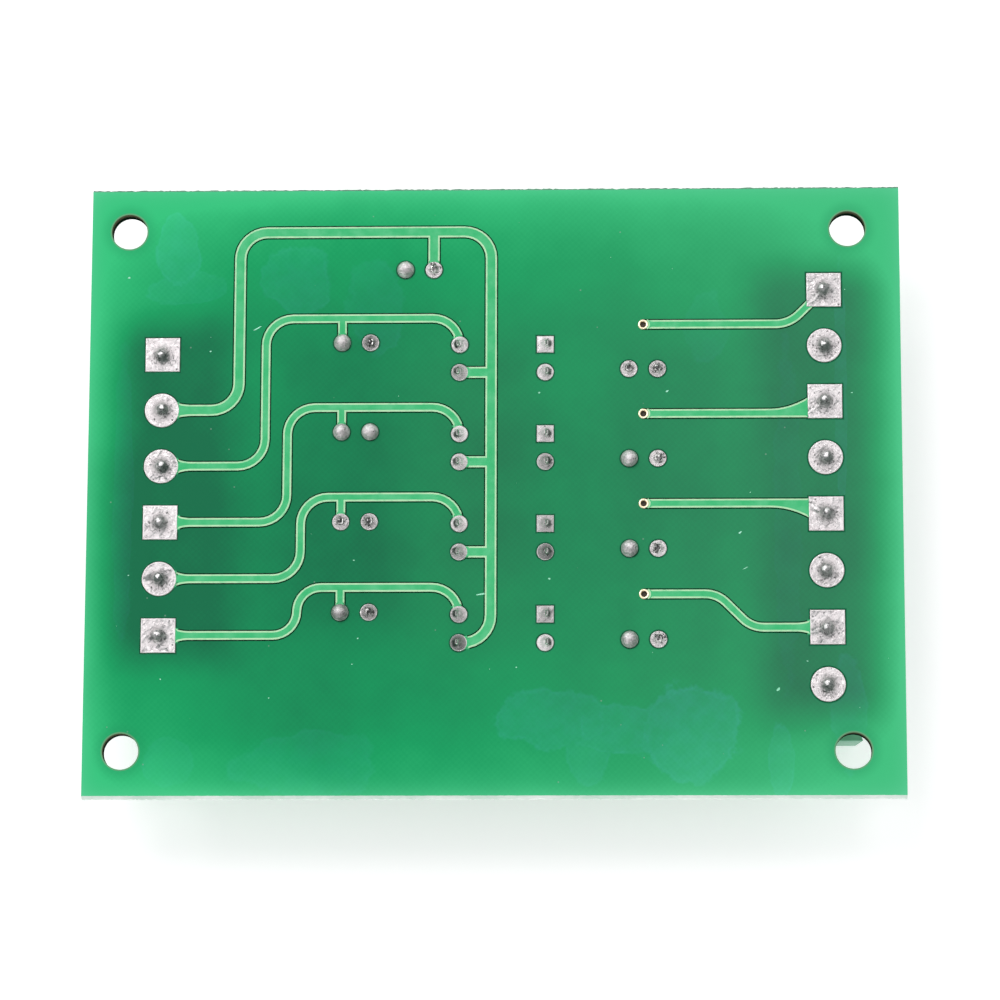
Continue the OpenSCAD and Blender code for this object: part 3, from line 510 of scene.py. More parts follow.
def mouldedFinish(name, colour, shade, rough, grainScale, strength, spec=0.4, wear=None, lip=None):
    material, w, shader = newFinish(name)
    mix = w.blend(cloud(w, 0.3, 4.0, 0.3, 0.7), colour, shade)
    if wear:
        rubbed = specks(w, 1.1, 0.12, 0.25)
        mix = w.blend(w.times(rubbed, 0.35), mix, wear)
    if lip:  # painted light: paler towards the soldered face, where light reaches into the hole
        mix = w.blend(w.remap(w.axes()[2], midZ / mm - 0.2, solderZ / mm - 0.3), mix, lip)
    grain = cloud(w, grainScale, 4.0, 0.25, 0.75)
    rough = w.spread(grain, rough - 0.06, rough + 0.08)
    w.fill(shader, {"Base Color": mix, "Roughness": rough, "Specular IOR Level": spec})
    roughen(w, shader, grain, strength)
    return material


housingGreen = mouldedFinish("housingGreen", (0.19, 0.45, 0.30), (0.15, 0.39, 0.255), 0.42, 5.0, 0.25,
                             wear=(0.26, 0.52, 0.37))
couplerBlack = mouldedFinish("couplerBlack", (0.018, 0.018, 0.019), (0.026, 0.026, 0.027), 0.55, 7.0, 0.4,
                             wear=(0.06, 0.06, 0.06))
chipBlack = mouldedFinish("chipGlaze", (0.012, 0.012, 0.013), (0.02, 0.02, 0.021), 0.25, 4.0, 0.15)
chipWhite = mouldedFinish("chipCeramic", (0.72, 0.71, 0.68), (0.62, 0.61, 0.58), 0.5, 6.0, 0.3)
inkWhite = mouldedFinish("legendInk", (0.78, 0.79, 0.76), (0.66, 0.68, 0.64), 0.5, 5.0, 0.3)
dustWhite = mouldedFinish("dustFlecks", (0.52, 1.0, 0.80), (0.34, 0.88, 0.58), 0.7, 9.0, 0.5)
webFibre = mouldedFinish("snappedFibre", (0.84, 0.91, 0.85), (0.60, 0.78, 0.66), 0.62, 4.0, 0.6)
# painted shade: the snapped fibre again, dark, for the far edge
webShade = mouldedFinish("shadedFibre", (0.05, 0.22, 0.12), (0.10, 0.30, 0.18), 0.62, 4.0, 0.6)
# painted shade: mounting-hole walls near-black, paler towards the soldered face
holeShade = mouldedFinish("holeWallShade", (0.004, 0.016, 0.009), (0.008, 0.028, 0.016), 0.6, 6.0, 0.3, spec=0.0,
                         lip=(0.15, 0.14, 0.085))
# painted shade: a near-black plug for the dark inside of each via
plugShade = mouldedFinish("viaPlug", (0.020, 0.012, 0.006), (0.035, 0.022, 0.010), 0.5, 6.0, 0.3)
# painted shade: the cut ends of the leads are painted dark
cutEndShade = mouldedFinish("leadEndShade", (0.20, 0.19, 0.19), (0.10, 0.10, 0.10), 0.35, 8.0, 0.4)

lampRed, w, shader = newFinish("lampResin")
deep = w.remap(w.axes()[2], 5.5, 10.4)
colour = w.blend(deep, (0.66, 0.03, 0.02), (0.40, 0.012, 0.01))
milky = cloud(w, 1.2, 4.0, 0.3, 0.75)
colour = w.blend(w.times(milky, 0.25), colour, (0.80, 0.10, 0.07))
rough = w.spread(milky, 0.16, 0.28)
w.fill(shader, {"Base Color": colour, "Roughness": rough, "Coat Weight": 0.4, "Coat Roughness": 0.08})
roughen(w, shader, milky, 0.06)
print("finishes built")


# mesh helpers
def mergedCopy(name):
    bm = bmesh.new()
    bm.from_mesh(nodes[name].data)
    bmesh.ops.remove_doubles(bm, verts=bm.verts, dist=0.002 * mm)
    return bm


def islandsOf(bm):
    left = set(bm.verts)
    found = []
    while left:
        seed = left.pop()
        group, stack = [seed], [seed]
        while stack:
            for edge in stack.pop().link_edges:
                for vert in edge.verts:
                    if vert in left:
                        left.discard(vert)
                        group.append(vert)
                        stack.append(vert)
        found.append(group)
    return found


def spots(name):
    bm = mergedCopy(name)
    found = []
    for group in islandsOf(bm):
        xs, ys = [v.co.x for v in group], [v.co.y for v in group]
        cx, cy, half = (min(xs) + max(xs)) / 2, (min(ys) + max(ys)) / 2, (max(xs) - min(xs)) / 2
        square = any(abs(v.co.x - cx) > 0.98 * half and abs(v.co.y - cy) > 0.98 * half for v in group)
        found.append((cx, cy, half, square))
    bm.free()
    return sorted(found, key=lambda s: (-round(s[1] / mm, 1), s[0]))


def picked(geom, kind):
    return [g for g in geom if isinstance(g, kind)]


def rounded(bm, edges, offset, segments=2):
    bmesh.ops.bevel(bm, geom=edges, offset=offset * mm, offset_type="OFFSET", segments=segments, profile=0.5,
                    affect="EDGES", clamp_overlap=True, material=-1)


def easeSharp(bm, offset, segments, limit):
    bmesh.ops.dissolve_limit(bm, angle_limit=math.radians(1.0), verts=bm.verts, edges=bm.edges)
    sharp = [e for e in bm.edges if len(e.link_faces) == 2 and e.calc_face_angle(0.0) > math.radians(limit)]
    rounded(bm, sharp, offset, segments)


def lathe(bm, rows, cx, cy, **turning):
    verts = [bm.verts.new((cx + r, cy, z)) for r, z in rows]
    edges = [bm.edges.new((a, b)) for a, b in zip(verts, verts[1:] + verts[:1])]
    if "dvec" in turning:  # a thread has two ends to close
        bmesh.ops.contextual_create(bm, geom=edges)
    return bmesh.ops.spin(bm, geom=verts + edges, cent=(cx, cy, 0), axis=(0, 0, 1), **turning)["geom_last"]


def facesOf(verts):
    return {f for v in verts for f in v.link_faces}


def insetBand(bm, faces, width):
    return bmesh.ops.inset_region(
        bm, faces=faces, thickness=width, use_boundary=True, use_even_offset=True
    )["faces"]


def inHole(x, y, reach):
    return any(math.hypot(x - hx, y - hy) < reach * mm for hx, hy in holes)


def finishPiece(bm, name, finishes, body, stands=(), smooth=40.0):
    bmesh.ops.recalc_face_normals(bm, faces=bm.faces)
    mesh = bpy.data.meshes.new(name)
    bm.to_mesh(mesh)
    bm.free()
    for material in finishes:
        mesh.materials.append(material)
    if smooth:
        mesh.shade_smooth()
        mesh.set_sharp_from_angle(angle=math.radians(smooth))
    piece = bpy.data.objects.new(name, mesh)
    bpy.context.scene.collection.objects.link(piece)
    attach(piece, body)
    if stands:
        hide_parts(*stands)
    return piece


def paint(names, material):
    for name in names:
        node = nodes[name]
        if not node.material_slots:
            node.data.materials.append(material)
        for slot in node.material_slots:
            slot.material = material


# tracks of both faces, from the outlines of their solids
padSpots = [s for kind in ("terminal", "coupler", "lamp") for s in spots(kind + "_solder_joints")]


def meetsPad(point):
    for cx, cy, half, square in padSpots:
        dx, dy = abs(point.x - cx), abs(point.y - cy)
        if (max(dx, dy) if square else math.hypot(dx, dy)) < half + trackLook["padReach"] * mm:
            return True
    return False


def trackPiece(name, nodeName, side):
    bm = mergedCopy(nodeName)
    bmesh.ops.dissolve_limit(bm, angle_limit=math.radians(0.6), verts=bm.verts, edges=bm.edges)
    bmesh.ops.delete(bm, geom=[f for f in bm.faces if f.normal.z * side < 0.9], context="FACES")
    shoulder, foot = trackLook["shoulderWidth"] * mm, trackLook["footWidth"] * mm
    for face in insetBand(bm, list(bm.faces), shoulder):
        face.material_index = 0 if meetsPad(face.calc_center_median()) else 1
    rimEdges = [e for e in bm.edges if e.is_boundary]
    rimVerts = {v for e in rimEdges for v in e.verts}
    steps = {}
    for vert in rimVerts:
        inner = next(e.other_vert(vert) for e in vert.link_edges if not e.is_boundary)
        steps[tuple(round(c, 7) for c in vert.co)] = (vert.co - inner.co) * (foot / shoulder)
    made = bmesh.ops.extrude_edge_only(bm, edges=rimEdges)
    base = solderZ if side > 0 else seatZ
    for vert in picked(made["geom"], BMVert):
        vert.co += steps[tuple(round(c, 7) for c in vert.co)]
        vert.co.z = base - side * trackLook["sink"] * mm
    for face in picked(made["geom"], BMFace):
        face.material_index = 0 if meetsPad(face.calc_center_median()) else 2
    for vert in rimVerts:
        vert.co.z -= side * trackLook["shoulderDrop"] * mm
    bmesh.ops.holes_fill(bm, edges=[e for e in bm.edges if e.is_boundary], sides=0)
    finishes = [trackTop, trackShoulder, trackFootShade]
    return finishPiece(bm, name, finishes, "module", [nodeName], 60.0)


trackPiece("solderFaceTracks", "solder_side_tracks", 1)
trackPiece("componentFaceTracks", "component_side_tracks", -1)
print("tracks built")

# solder joints: a wetted pad, a hollow rise, a coated pin tip
terminalJoint = {
    # the painted shade beside the pin: its reach, strength range and place (spotX, spotY)
    "segments": 64, "lean": ((-0.12, 0.03), (-0.03, 0.08)), "uneven": 0.03, "ripple": 0.03, "shadeReach": 0.44,
    "paintedShade": (0.8, 1.0), "spotX": (-0.08, 0.16), "spotY": (-0.20, 0.0),
    "skirt": [(0.17, -0.01, 2), (0.14, 0.012, 2), (0.09, 0.012, 2), (0.075, 0.004, 1), (0.0, 0.004, 1)],
    "rise": [
        (1.0, 0.045), (0.988, 0.085), (0.965, 0.105), (0.92, 0.10), (0.84, 0.092), (0.74, 0.095),
        (0.65, 0.115), (0.57, 0.15), (0.50, 0.205), (0.44, 0.29), (0.39, 0.39), (0.35, 0.50),
        (0.315, 0.62), (0.28, 0.74), (0.24, 0.85), (0.19, 0.93), (0.12, 0.985), (0.05, 1.0),
    ],
    # how far the tin was dragged, down each row of pads
    "smudges": {
        "left": [0.35, 0.2, 0.8, 0.75, 0.75, 0.85], "right": [0.65, 0.3, 0.4, 0.5, 0.5, 0.5, 0.85, 0.3],
    },
    # pads where the edge of a track shows through the solder: x, y, direction
    "seams": [(29.6, 18.3, 222), (29.6, 8.2, 214), (29.6, -2.0, 150), (29.6, -12.2, 196)],
}
couplerJoint = {
    "segments": 48, "lean": ((0.10, 0.2), (-0.04, 0.08)), "uneven": 0.04, "ripple": 0.02, "shadeReach": 0.52,
    "paintedShade": (0.8, 1.0), "spotX": (0.2, 0.36), "spotY": (-0.12, 0.10), "outward": True,
    "tarnish": [0.0, 0.0, 0.47, 0.0, 0.0, 0.16, 0.18, 0.52, 0.0, 0.4, 0.42, 0.85, 0.4, 0.3, 0.85, 0.0],
    "skirt": [(0.16, -0.01, 2), (0.13, 0.012, 2), (0.085, 0.012, 2), (0.07, 0.004, 1), (0.0, 0.004, 1)],
    "rise": [
        (1.0, 0.045), (0.975, 0.085), (0.93, 0.11), (0.86, 0.13), (0.77, 0.16), (0.68, 0.20), (0.59, 0.26),
        (0.51, 0.33), (0.44, 0.41), (0.38, 0.49), (0.31, 0.56), (0.22, 0.60), (0.1, 0.615),
    ],
}
lampJoint = {
    **couplerJoint, "lean": ((-0.08, 0.08), (-0.06, 0.08)), "uneven": 0.10, "ripple": 0.05, "shadeReach": 0.46,
    "paintedShade": (0.85, 1.0), "spotX": (-0.12, 0.16), "spotY": (-0.1, 0.2), "outward": False,
    # domes carry their painted shade at the lower right, with their own reach and a weaker strength
    "domed": (0, 2, 6, 7, 8, 12, 14, 16), "domeReach": 0.7, "domeShade": 0.45, "domeSpot": (0.5, -0.55),
    "tarnish": [
        0.0, 0.08, 0.1, 0.62, 0.15, 0.27, 0.05, 0.05, 0.0, 0.0, 0.22, 0.36, 0.15, 0.0, 0.62, 0.6, 0.2, 0.0,
    ],
    "rise": [
        (1.0, 0.045), (0.975, 0.085), (0.93, 0.095), (0.86, 0.10), (0.77, 0.115), (0.68, 0.14), (0.59, 0.19),
        (0.51, 0.26), (0.44, 0.35), (0.38, 0.45), (0.31, 0.54), (0.22, 0.59), (0.1, 0.615),
    ],
}
domedRise = [
    (1.0, 0.06), (0.99, 0.14), (0.96, 0.25), (0.91, 0.37), (0.84, 0.50), (0.75, 0.62), (0.65, 0.72),
    (0.53, 0.80), (0.40, 0.86), (0.26, 0.895), (0.12, 0.91),
]


jointLayers = ("turn", "spotX", "spotY", "rimIn", "paintedShade", "smudge", "tarnish", "domed", "seamV")
offSeam = 9.0  # far from any seam


def smoothStep(low, high, value):
    t = min(1.0, max(0.0, (value - low) / (high - low)))
    return t * t * (3 - 2 * t)


def raiseJoint(bm, layers, spot, plan, rise, rng, shadeStrength, smudge, tarnish, seam):
    cx, cy, half, square = spot
    seed = Vector((rng.uniform(0, 90), rng.uniform(0, 90), rng.uniform(0, 90)))
    lean = Vector([rng.uniform(*span) for span in plan["lean"]]) * mm
    # painted shade: a dark spot beside the pin, on domes at their lower right, its place, reach and strength
    # stored on the joint
    darkSpot = Vector((rng.uniform(*plan["spotX"]), rng.uniform(*plan["spotY"])))
    if plan.get("outward") and cx < 0:  # leads spring apart, away from the coupler's middle
        lean.x, darkSpot.x = -lean.x, -darkSpot.x
    if rise is domedRise:
        darkSpot = Vector(plan["domeSpot"])
        shadeStrength *= plan["domeShade"]
    top = rise[-1][1]
    reachOut = plan["domeReach"] if rise is domedRise else plan["shadeReach"]
    rows = [(1.0 + offset * mm / half, height, zone) for offset, height, zone in plan["skirt"]]
    rows += [(share, height, 0) for share, height in rise]

    def settle(ring, share, height, zone):
        for vert in ring:
            turn = vert[layers["turn"]]
            c, s = math.cos(turn), math.sin(turn)
            corner = 1.0
            if square:
                corner = 1.0 + (1.0 / max(abs(c), abs(s)) - 1.0) * smoothStep(0.42, 0.93, share)
            wave = noise.noise(seed + Vector((c * 1.7, s * 1.7, share * 2.0)))
            fine = noise.noise(seed + Vector((c * share * 4.5, s * share * 4.5, 7.0)))
            reach = half * share * corner
            if zone == 0:
                reach *= 1.0 + plan["uneven"] * wave * (0.2 + smoothStep(1.0, 0.8, share))
            up = height
            if zone == 0 and share < 1.0:
                climb = height / top
                bumps = plan["ripple"] * fine + plan["uneven"] * 0.8 * wave * climb
                up += bumps * smoothStep(1.0, 0.8, climb)
            shift = lean * (max(height, 0.0) / top) if zone == 0 else Vector((0, 0))
            vert.co = (cx + c * reach + shift.x, cy + s * reach + shift.y, solderZ + up * mm)
            local = Vector((c, s)) * share * corner
            across = offSeam
            if seam is not None:
                ahead = Vector((math.cos(seam), math.sin(seam)))
                along = local.dot(ahead)
                across = local.cross(ahead) + (0.0 if along > 0.34 else offSeam)
            spotX, spotY = (local - darkSpot) / reachOut
            domed = float(rise is domedRise)
            marks = (turn, spotX, spotY, 1.0 - share, shadeStrength, smudge, tarnish, domed, across)
            for label, mark in zip(jointLayers, marks):
                vert[layers[label]] = mark

    ring = bmesh.ops.create_circle(bm, segments=plan["segments"], radius=half)["verts"]
    edges = list({e for v in ring for e in v.link_edges})
    for vert in ring:
        vert[layers["turn"]] = math.atan2(vert.co.y, vert.co.x)
    firstEdges = edges
    settle(ring, *rows[0])
    for row in rows[1:]:
        made = bmesh.ops.extrude_edge_only(bm, edges=edges)["geom"]
        ring = picked(made, BMVert)
        fresh = set(ring)
        edges = [e for e in picked(made, BMEdge) if fresh.issuperset(e.verts)]
        for face in picked(made, BMFace):
            face.material_index = row[2]
        settle(ring, *row)
    tip = sum((v.co for v in ring), Vector()) / len(ring)
    bmesh.ops.contextual_create(bm, geom=firstEdges)
    bmesh.ops.pointmerge(bm, verts=ring, merge_co=tip)


def jointPiece(name, nodeName, plan, seed, finish):
    rng = random.Random(seed)
    bm = bmesh.new()
    layers = {label: bm.verts.layers.float.new(label) for label in jointLayers}
    seen = {"left": 0, "right": 0}
    for i, spot in enumerate(spots(nodeName)):
        rise = domedRise if i in plan.get("domed", ()) else plan["rise"]
        shadeStrength = rng.uniform(*plan["paintedShade"])
        column = "left" if spot[0] < 0 else "right"
        smudge = plan["smudges"][column][seen[column]] if "smudges" in plan else rng.uniform(0.0, 0.5)
        seen[column] += 1
        tarnish = plan["tarnish"][i] if "tarnish" in plan else 0.0
        seam = None
        for x, y, turn in plan.get("seams", ()):
            if math.hypot(x * mm - spot[0], y * mm - spot[1]) < spot[2]:
                seam = math.radians(turn)
        raiseJoint(bm, layers, spot, plan, rise, rng, shadeStrength, smudge, tarnish, seam)
    return finishPiece(bm, name, [finish, openingShade, lipGreen], "module", [nodeName], 70.0)


jointPiece("terminalSolder", "terminal_solder_joints", terminalJoint, 11, terminalTin)
jointPiece("couplerSolder", "coupler_solder_joints", couplerJoint, 23, couplerTin)
jointPiece("lampSolder", "lamp_solder_joints", lampJoint, 37, lampTin)
print("solder built")

# plated through holes; the section gives each row's inset from the ring's edge and its rise off the face
viaRing = {
    "steps": 40, "plug": 1.1, "plugInset": 0.17,
    "section": [(0.0, -0.02), (0.0, 0.03), (0.035, 0.07), (0.08, 0.08), (0.16, 0.075), (0.19, 0.045)],
}
bm = bmesh.new()
viaSpots = spots("vias")
for cx, cy, ringR, square in viaSpots:
    outline = []
    for faceZ, side in ((seatZ, -1), (solderZ, 1)):
        rows = [(ringR - inset * mm, faceZ + side * rise * mm) for inset, rise in viaRing["section"]]
        outline += rows if side < 0 else rows[::-1]
    lathe(bm, outline, cx, cy, angle=math.tau, steps=viaRing["steps"], use_merge=True)
bmesh.ops.remove_doubles(bm, verts=bm.verts, dist=0.001 * mm)
for cx, cy, ringR, square in viaSpots:  # each hole is closed by mask a little way down, the plug painted near-black as shade
    plugR = ringR - viaRing["plugInset"] * mm
    made = bmesh.ops.create_cone(
        bm, cap_ends=True, segments=viaRing["steps"], radius1=plugR, radius2=plugR,
        depth=viaRing["plug"] * mm, matrix=Matrix.Translation((cx, cy, midZ))
    )["verts"]
    for face in facesOf(made):
        face.material_index = 1
finishPiece(bm, "viaRings", [viaCopper, plugShade], "module", ["vias"], 50.0)
print("vias built")

# the board itself, its two long edges snapped and ragged
plate = {"cuts": 420, "rag": 0.11, "strip": 0.6, "skin": 0.1, "near": 0.01}
bm = mergedCopy("circuit_board")
stripY = faceY - plate["strip"] * mm
for side in (1, -1):
    whole = bm.verts[:] + bm.edges[:] + bm.faces[:]
    bmesh.ops.bisect_plane(bm, geom=whole, plane_co=(0, side * stripY, 0), plane_no=(0, 1, 0))
inStrip = {f for f in bm.faces if abs(f.calc_center_median().y) > stripY}
inner = [e for e in bm.edges if inStrip.issuperset(e.link_faces)]
bmesh.ops.dissolve_limit(bm, angle_limit=math.radians(1.0), verts=[], edges=inner)
longEdges = []
for edge in bm.edges:
    a, b = (vert.co for vert in edge.verts)
    if abs(a.x - b.x) > 1.9 * halfX and abs(a.y) > stripY + plate["skin"] * mm:
        longEdges.append(edge)
bmesh.ops.subdivide_edges(bm, edges=longEdges, cuts=plate["cuts"], use_grid_fill=True)
for face in bm.faces:
    spot = face.calc_center_median()
    if abs(spot.y) > faceY:  # the far edge's fibre is painted dark as shade, the near one shows bare fibre
        face.material_index = 1 if spot.y < 0 else 2
    elif seatZ < spot.z - plate["skin"] * mm < spot.z + plate["skin"] * mm < solderZ:
        # painted shade: the mounting-hole walls
        if inHole(spot.x, spot.y, mounting["wall"]):
            face.material_index = 3
for vert in bm.verts:
    if abs(vert.co.y) > faceY - plate["near"] * mm and abs(vert.co.x) < halfX - plate["near"] * mm:
        out = (abs(vert.co.y) - faceY) / (boardHigh.y - faceY)
        p = Vector((vert.co.x / mm * 2.6, vert.co.z / mm * 2.0, math.copysign(9.0, vert.co.y)))
        rag = 0.6 * noise.noise(p) + 0.55 * noise.noise(p * 3.1)
        inward = plate["rag"] * mm * max(0.0, 0.35 + rag) * (0.25 + 0.75 * out)
        vert.co.y -= math.copysign(inward, vert.co.y)
finishes = [maskGreen, webFibre, webShade, holeShade]
finishPiece(bm, "boardPlate", finishes, "module", ["circuit_board"], 0.0)
print("board built")

# dust on the solder face
dust = {
    "count": 14, "seed": 8, "low": 0.03, "high": 0.06, "spread": 0.96,
    "lift": 0.008, "thick": 0.02, "jitter": 0.25,
    # larger flecks: x, y, half length, half width, turn
    "flecks": [
        (-32.8, 19.4, 0.13, 0.10, 20), (-25.4, 12.6, 0.08, 0.06, 0), (-21.2, 14.7, 0.42, 0.05, 32),
        (-20.5, 14.2, 0.26, 0.03, 75), (4.0, 8.7, 0.11, 0.08, 30), (15.4, 8.8, 0.14, 0.10, 30),
        (21.8, -4.0, 0.20, 0.08, 45), (22.2, -7.2, 0.28, 0.03, 32), (25.0, -18.0, 0.20, 0.11, 50),
        (4.9, -8.1, 0.12, 0.08, 0), (-12.4, -6.4, 0.08, 0.06, 0), (-12.0, -13.4, 0.09, 0.05, 45),
        (2.0, -16.0, 0.08, 0.06, 0), (-29.4, -17.0, 0.08, 0.06, 0), (-19.8, -18.7, 0.08, 0.06, 0),
        (27.6, -15.5, 0.09, 0.05, 0), (22.7, -0.4, 0.08, 0.05, 30), (31.8, 8.6, 0.09, 0.05, 0),
        (-32.4, -7.7, 0.07, 0.05, 0), (-12.5, -15.7, 0.07, 0.05, 20), (-1.0, -9.45, 0.60, 0.085, 10),
    ],
}
rng = random.Random(dust["seed"])
bm = bmesh.new()
motes = [(*(size * mm for size in fleck[:4]), math.radians(fleck[4])) for fleck in dust["flecks"]]
spread, jitter = dust["spread"], dust["jitter"]
for _ in range(dust["count"]):
    size = rng.uniform(dust["low"], dust["high"]) * mm
    x = rng.uniform(-spread, spread) * halfX
    y = rng.uniform(-spread, spread) * faceY
    motes.append((x, y, size, size * rng.uniform(0.3, 1.0), rng.uniform(0, math.pi)))
for x, y, length, width, turn in motes:
    if inHole(x, y, mounting["clear"]):
        continue
    place = Matrix.Translation((x, y, solderZ + dust["lift"] * mm)) @ Matrix.Rotation(turn, 4, "Z")
    place = place @ Matrix.Diagonal((length, width, dust["thick"] * mm, 1))
    made = bmesh.ops.create_icosphere(bm, subdivisions=1, radius=1.0, matrix=place)
    for vert in made["verts"]:
        vert.co.x += rng.uniform(-jitter, jitter) * length
        vert.co.y += rng.uniform(-jitter, jitter) * width
finishPiece(bm, "dustFlecks", [dustWhite], "module", (), 60.0)
print("dust built")


# component side: moulded bodies get their edges eased
def easedPiece(name, nodeName, finish, slotName, offset, segments=2, limit=25.0,
               blunt=None, splay=0.0, ends=None, shape=None):
    bm = mergedCopy(nodeName)
    if shape:
        shape(bm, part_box(nodeName)[0])
    easeSharp(bm, offset, segments, limit)
    for vert in bm.verts:
        if blunt:  # pin ends stop inside their solder
            vert.co.z = min(vert.co.z, solderZ + blunt * mm)
        if vert.co.z > solderZ:  # lead ends spring outwards
            vert.co.x += math.copysign(splay * mm, vert.co.x)
    if ends:
        for face in bm.faces:
            face.material_index = int(face.normal.z > 0.95 and face.calc_center_median().z > solderZ)
    return finishPiece(bm, name, [finish, ends] if ends else [finish], "module", [nodeName], 32.0)


endKey = {"root": 0.9, "split": 6.35, "out": 0.26, "back": 0.6, "brow": 0.25, "lip": -0.25, "lipTop": 1.8}


def widenKey(bm, low):  # the open end key, broad enough to show through the mounting hole
    for vert in bm.verts:
        if vert.co.y < low.y + endKey["root"] * mm:
            vert.co.y -= endKey["out"] * mm
            if vert.co.x < low.x + endKey["split"] * mm:
                vert.co.x -= endKey["back"] * mm
            else:
                vert.co.x += endKey["brow" if vert.co.z > endKey["lipTop"] * mm else "lip"] * mm


easing = {
    "housing": 0.10, "coupler": 0.07, "screw": 0.06, "frame": 0.06, "lead": 0.07, "chip": 0.03, "cap": 0.07,
}
thin = {"segments": 1, "limit": 40.0}
for side, names in blockNames.items():
    for i, nodeName in enumerate(names, 1):
        shape = widenKey if nodeName == "input_terminal_4" else None
        name = "%sHousing.%d" % (side, i)
        easedPiece(name, nodeName, housingGreen, "terminal_housing", easing["housing"], shape=shape)
for i, nodeName in enumerate(couplerNames, 1):
    easedPiece("coupler.%d" % i, nodeName, couplerBlack, "coupler_body", easing["coupler"])
for side in blocks:
    nodeName = side + "_contact_frames"
    easedPiece(side + "Frames", nodeName, platedStrip, "plated_strip", easing["frame"], blunt=0.45, **thin)
leads = {"finish": tinnedLead, "slotName": "tinned_lead", "offset": easing["lead"], "ends": cutEndShade, **thin}
for i in range(1, 5):
    easedPiece("couplerLeads.%d" % i, "optocoupler_leads_%d" % i, splay=0.15, **leads)
easedPiece("lampLeads", "lamp_leads", blunt=0.5, **leads)
print("housings, couplers, frames and leads built")

# clamp screws: eased head and a rolled thread
thread = {"shank": 1.45, "start": 1.75, "pitch": 0.5, "ridge": 0.03, "flank": 0.1, "turns": 7, "steps": 18}
for side, count in blocks.items():
    for i in range(1, 2 * count + 1):
        nodeName = "%s_screw_%d" % (side, i)
        low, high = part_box(nodeName)
        bm = mergedCopy(nodeName)
        easeSharp(bm, easing["screw"], 2, 40.0)
        start = low.z + thread["start"] * mm
        rows = []
        for out, up in ((-1, -1), (1, 0), (-1, 1)):
            radius = (thread["shank"] + out * thread["ridge"]) * mm
            rows.append((radius, start + up * thread["flank"] * mm))
        lastGeom = lathe(
            bm, rows, (low.x + high.x) / 2, (low.y + high.y) / 2, angle=math.tau * thread["turns"],
            steps=thread["steps"] * thread["turns"], dvec=(0, 0, thread["pitch"] * mm / thread["steps"])
        )
        bmesh.ops.contextual_create(bm, geom=picked(lastGeom, BMEdge))
        name = "%sClampScrew.%d" % (side, i)
        finishPiece(bm, name, [platedScrew], nodeName, [nodeName], 35.0)
print("screws built")

# chip resistors: ceramic, glaze and end caps
chip = {
    "length": 2.0, "width": 1.25, "height": 0.55, "cap": 0.4, "capRise": 0.04, "land": 0.08,
    "coreInset": 0.05, "coreLift": 0.06, "glazeLap": 0.02, "glazeInset": 0.05, "glazeThick": 0.1,
}
chip = {key: value * mm for key, value in chip.items()}
chipZ = seatZ - chip["land"]  # chips sit on their lands, growing downwards
outerZ = chipZ - chip["height"]
endX, sideY = chip["length"] / 2, chip["width"] / 2


def chipBox(bm, cx, cy, xs, reachY, zs, index, offset):
    low = Vector((cx + xs[0], cy - reachY, zs[0]))
    high = Vector((cx + xs[1], cy + reachY, zs[1]))
    place = Matrix.Translation((low + high) / 2) @ Matrix.Diagonal((*(high - low), 1))
    made = bmesh.ops.create_cube(bm, size=1.0, matrix=place)["verts"]
    for face in facesOf(made):
        face.material_index = index
    rounded(bm, list({e for v in made for e in v.link_edges}), offset)


for side in blocks:
    nodeName = side + "_resistors"
    bm = bmesh.new()
    for cx, cy, half, square in spots(nodeName):
        coreX = endX - chip["coreInset"]
        chipBox(bm, cx, cy, (-coreX, coreX), sideY, (outerZ + chip["coreLift"], chipZ), 1, easing["chip"])
        glazeX, glazeY = endX - chip["cap"] + chip["glazeLap"], sideY - chip["glazeInset"]
        glazeZ = (outerZ, outerZ + chip["glazeThick"])
        chipBox(bm, cx, cy, (-glazeX, glazeX), glazeY, glazeZ, 0, easing["chip"])
        for end in (-1, 1):
            capX = sorted((end * endX, end * (endX - chip["cap"])))
            capZ = (outerZ - chip["capRise"], chipZ)
            chipBox(bm, cx, cy, capX, sideY + chip["capRise"], capZ, 2, easing["cap"])
    finishes = [chipBlack, chipWhite, capTin]
    finishPiece(bm, side + "Chips", finishes, "module", [nodeName], 35.0)
print("chips built")

# printed outlines on the component side, with no lettering
legend = {
    "line": 0.16, "thick": 0.012, "around": 0.35, "couplerShare": 0.3, "lampR": 2.15,
    "chipX": 1.75, "chipY": 1.0, "segments": 40,
}


def printedRing(bm, cx, cy, reachX, reachY, circular=False):
    place = Matrix.Translation((cx, cy, seatZ))
    if circular:
        made = bmesh.ops.create_circle(
            bm, cap_ends=True, segments=legend["segments"], radius=reachX, matrix=place
        )["verts"]
    else:
        place = place @ Matrix.Diagonal((2 * reachX, 2 * reachY, 1, 1))
        made = bmesh.ops.create_grid(bm, x_segments=1, y_segments=1, size=0.5, matrix=place)["verts"]
    faces = list(facesOf(made))
    ring = insetBand(bm, faces, legend["line"] * mm)
    bmesh.ops.delete(bm, geom=faces, context="FACES_ONLY")
    grown = bmesh.ops.extrude_face_region(bm, geom=ring)["geom"]
    drop = (0, 0, -legend["thick"] * mm)
    bmesh.ops.translate(bm, verts=picked(grown, BMVert), vec=drop)


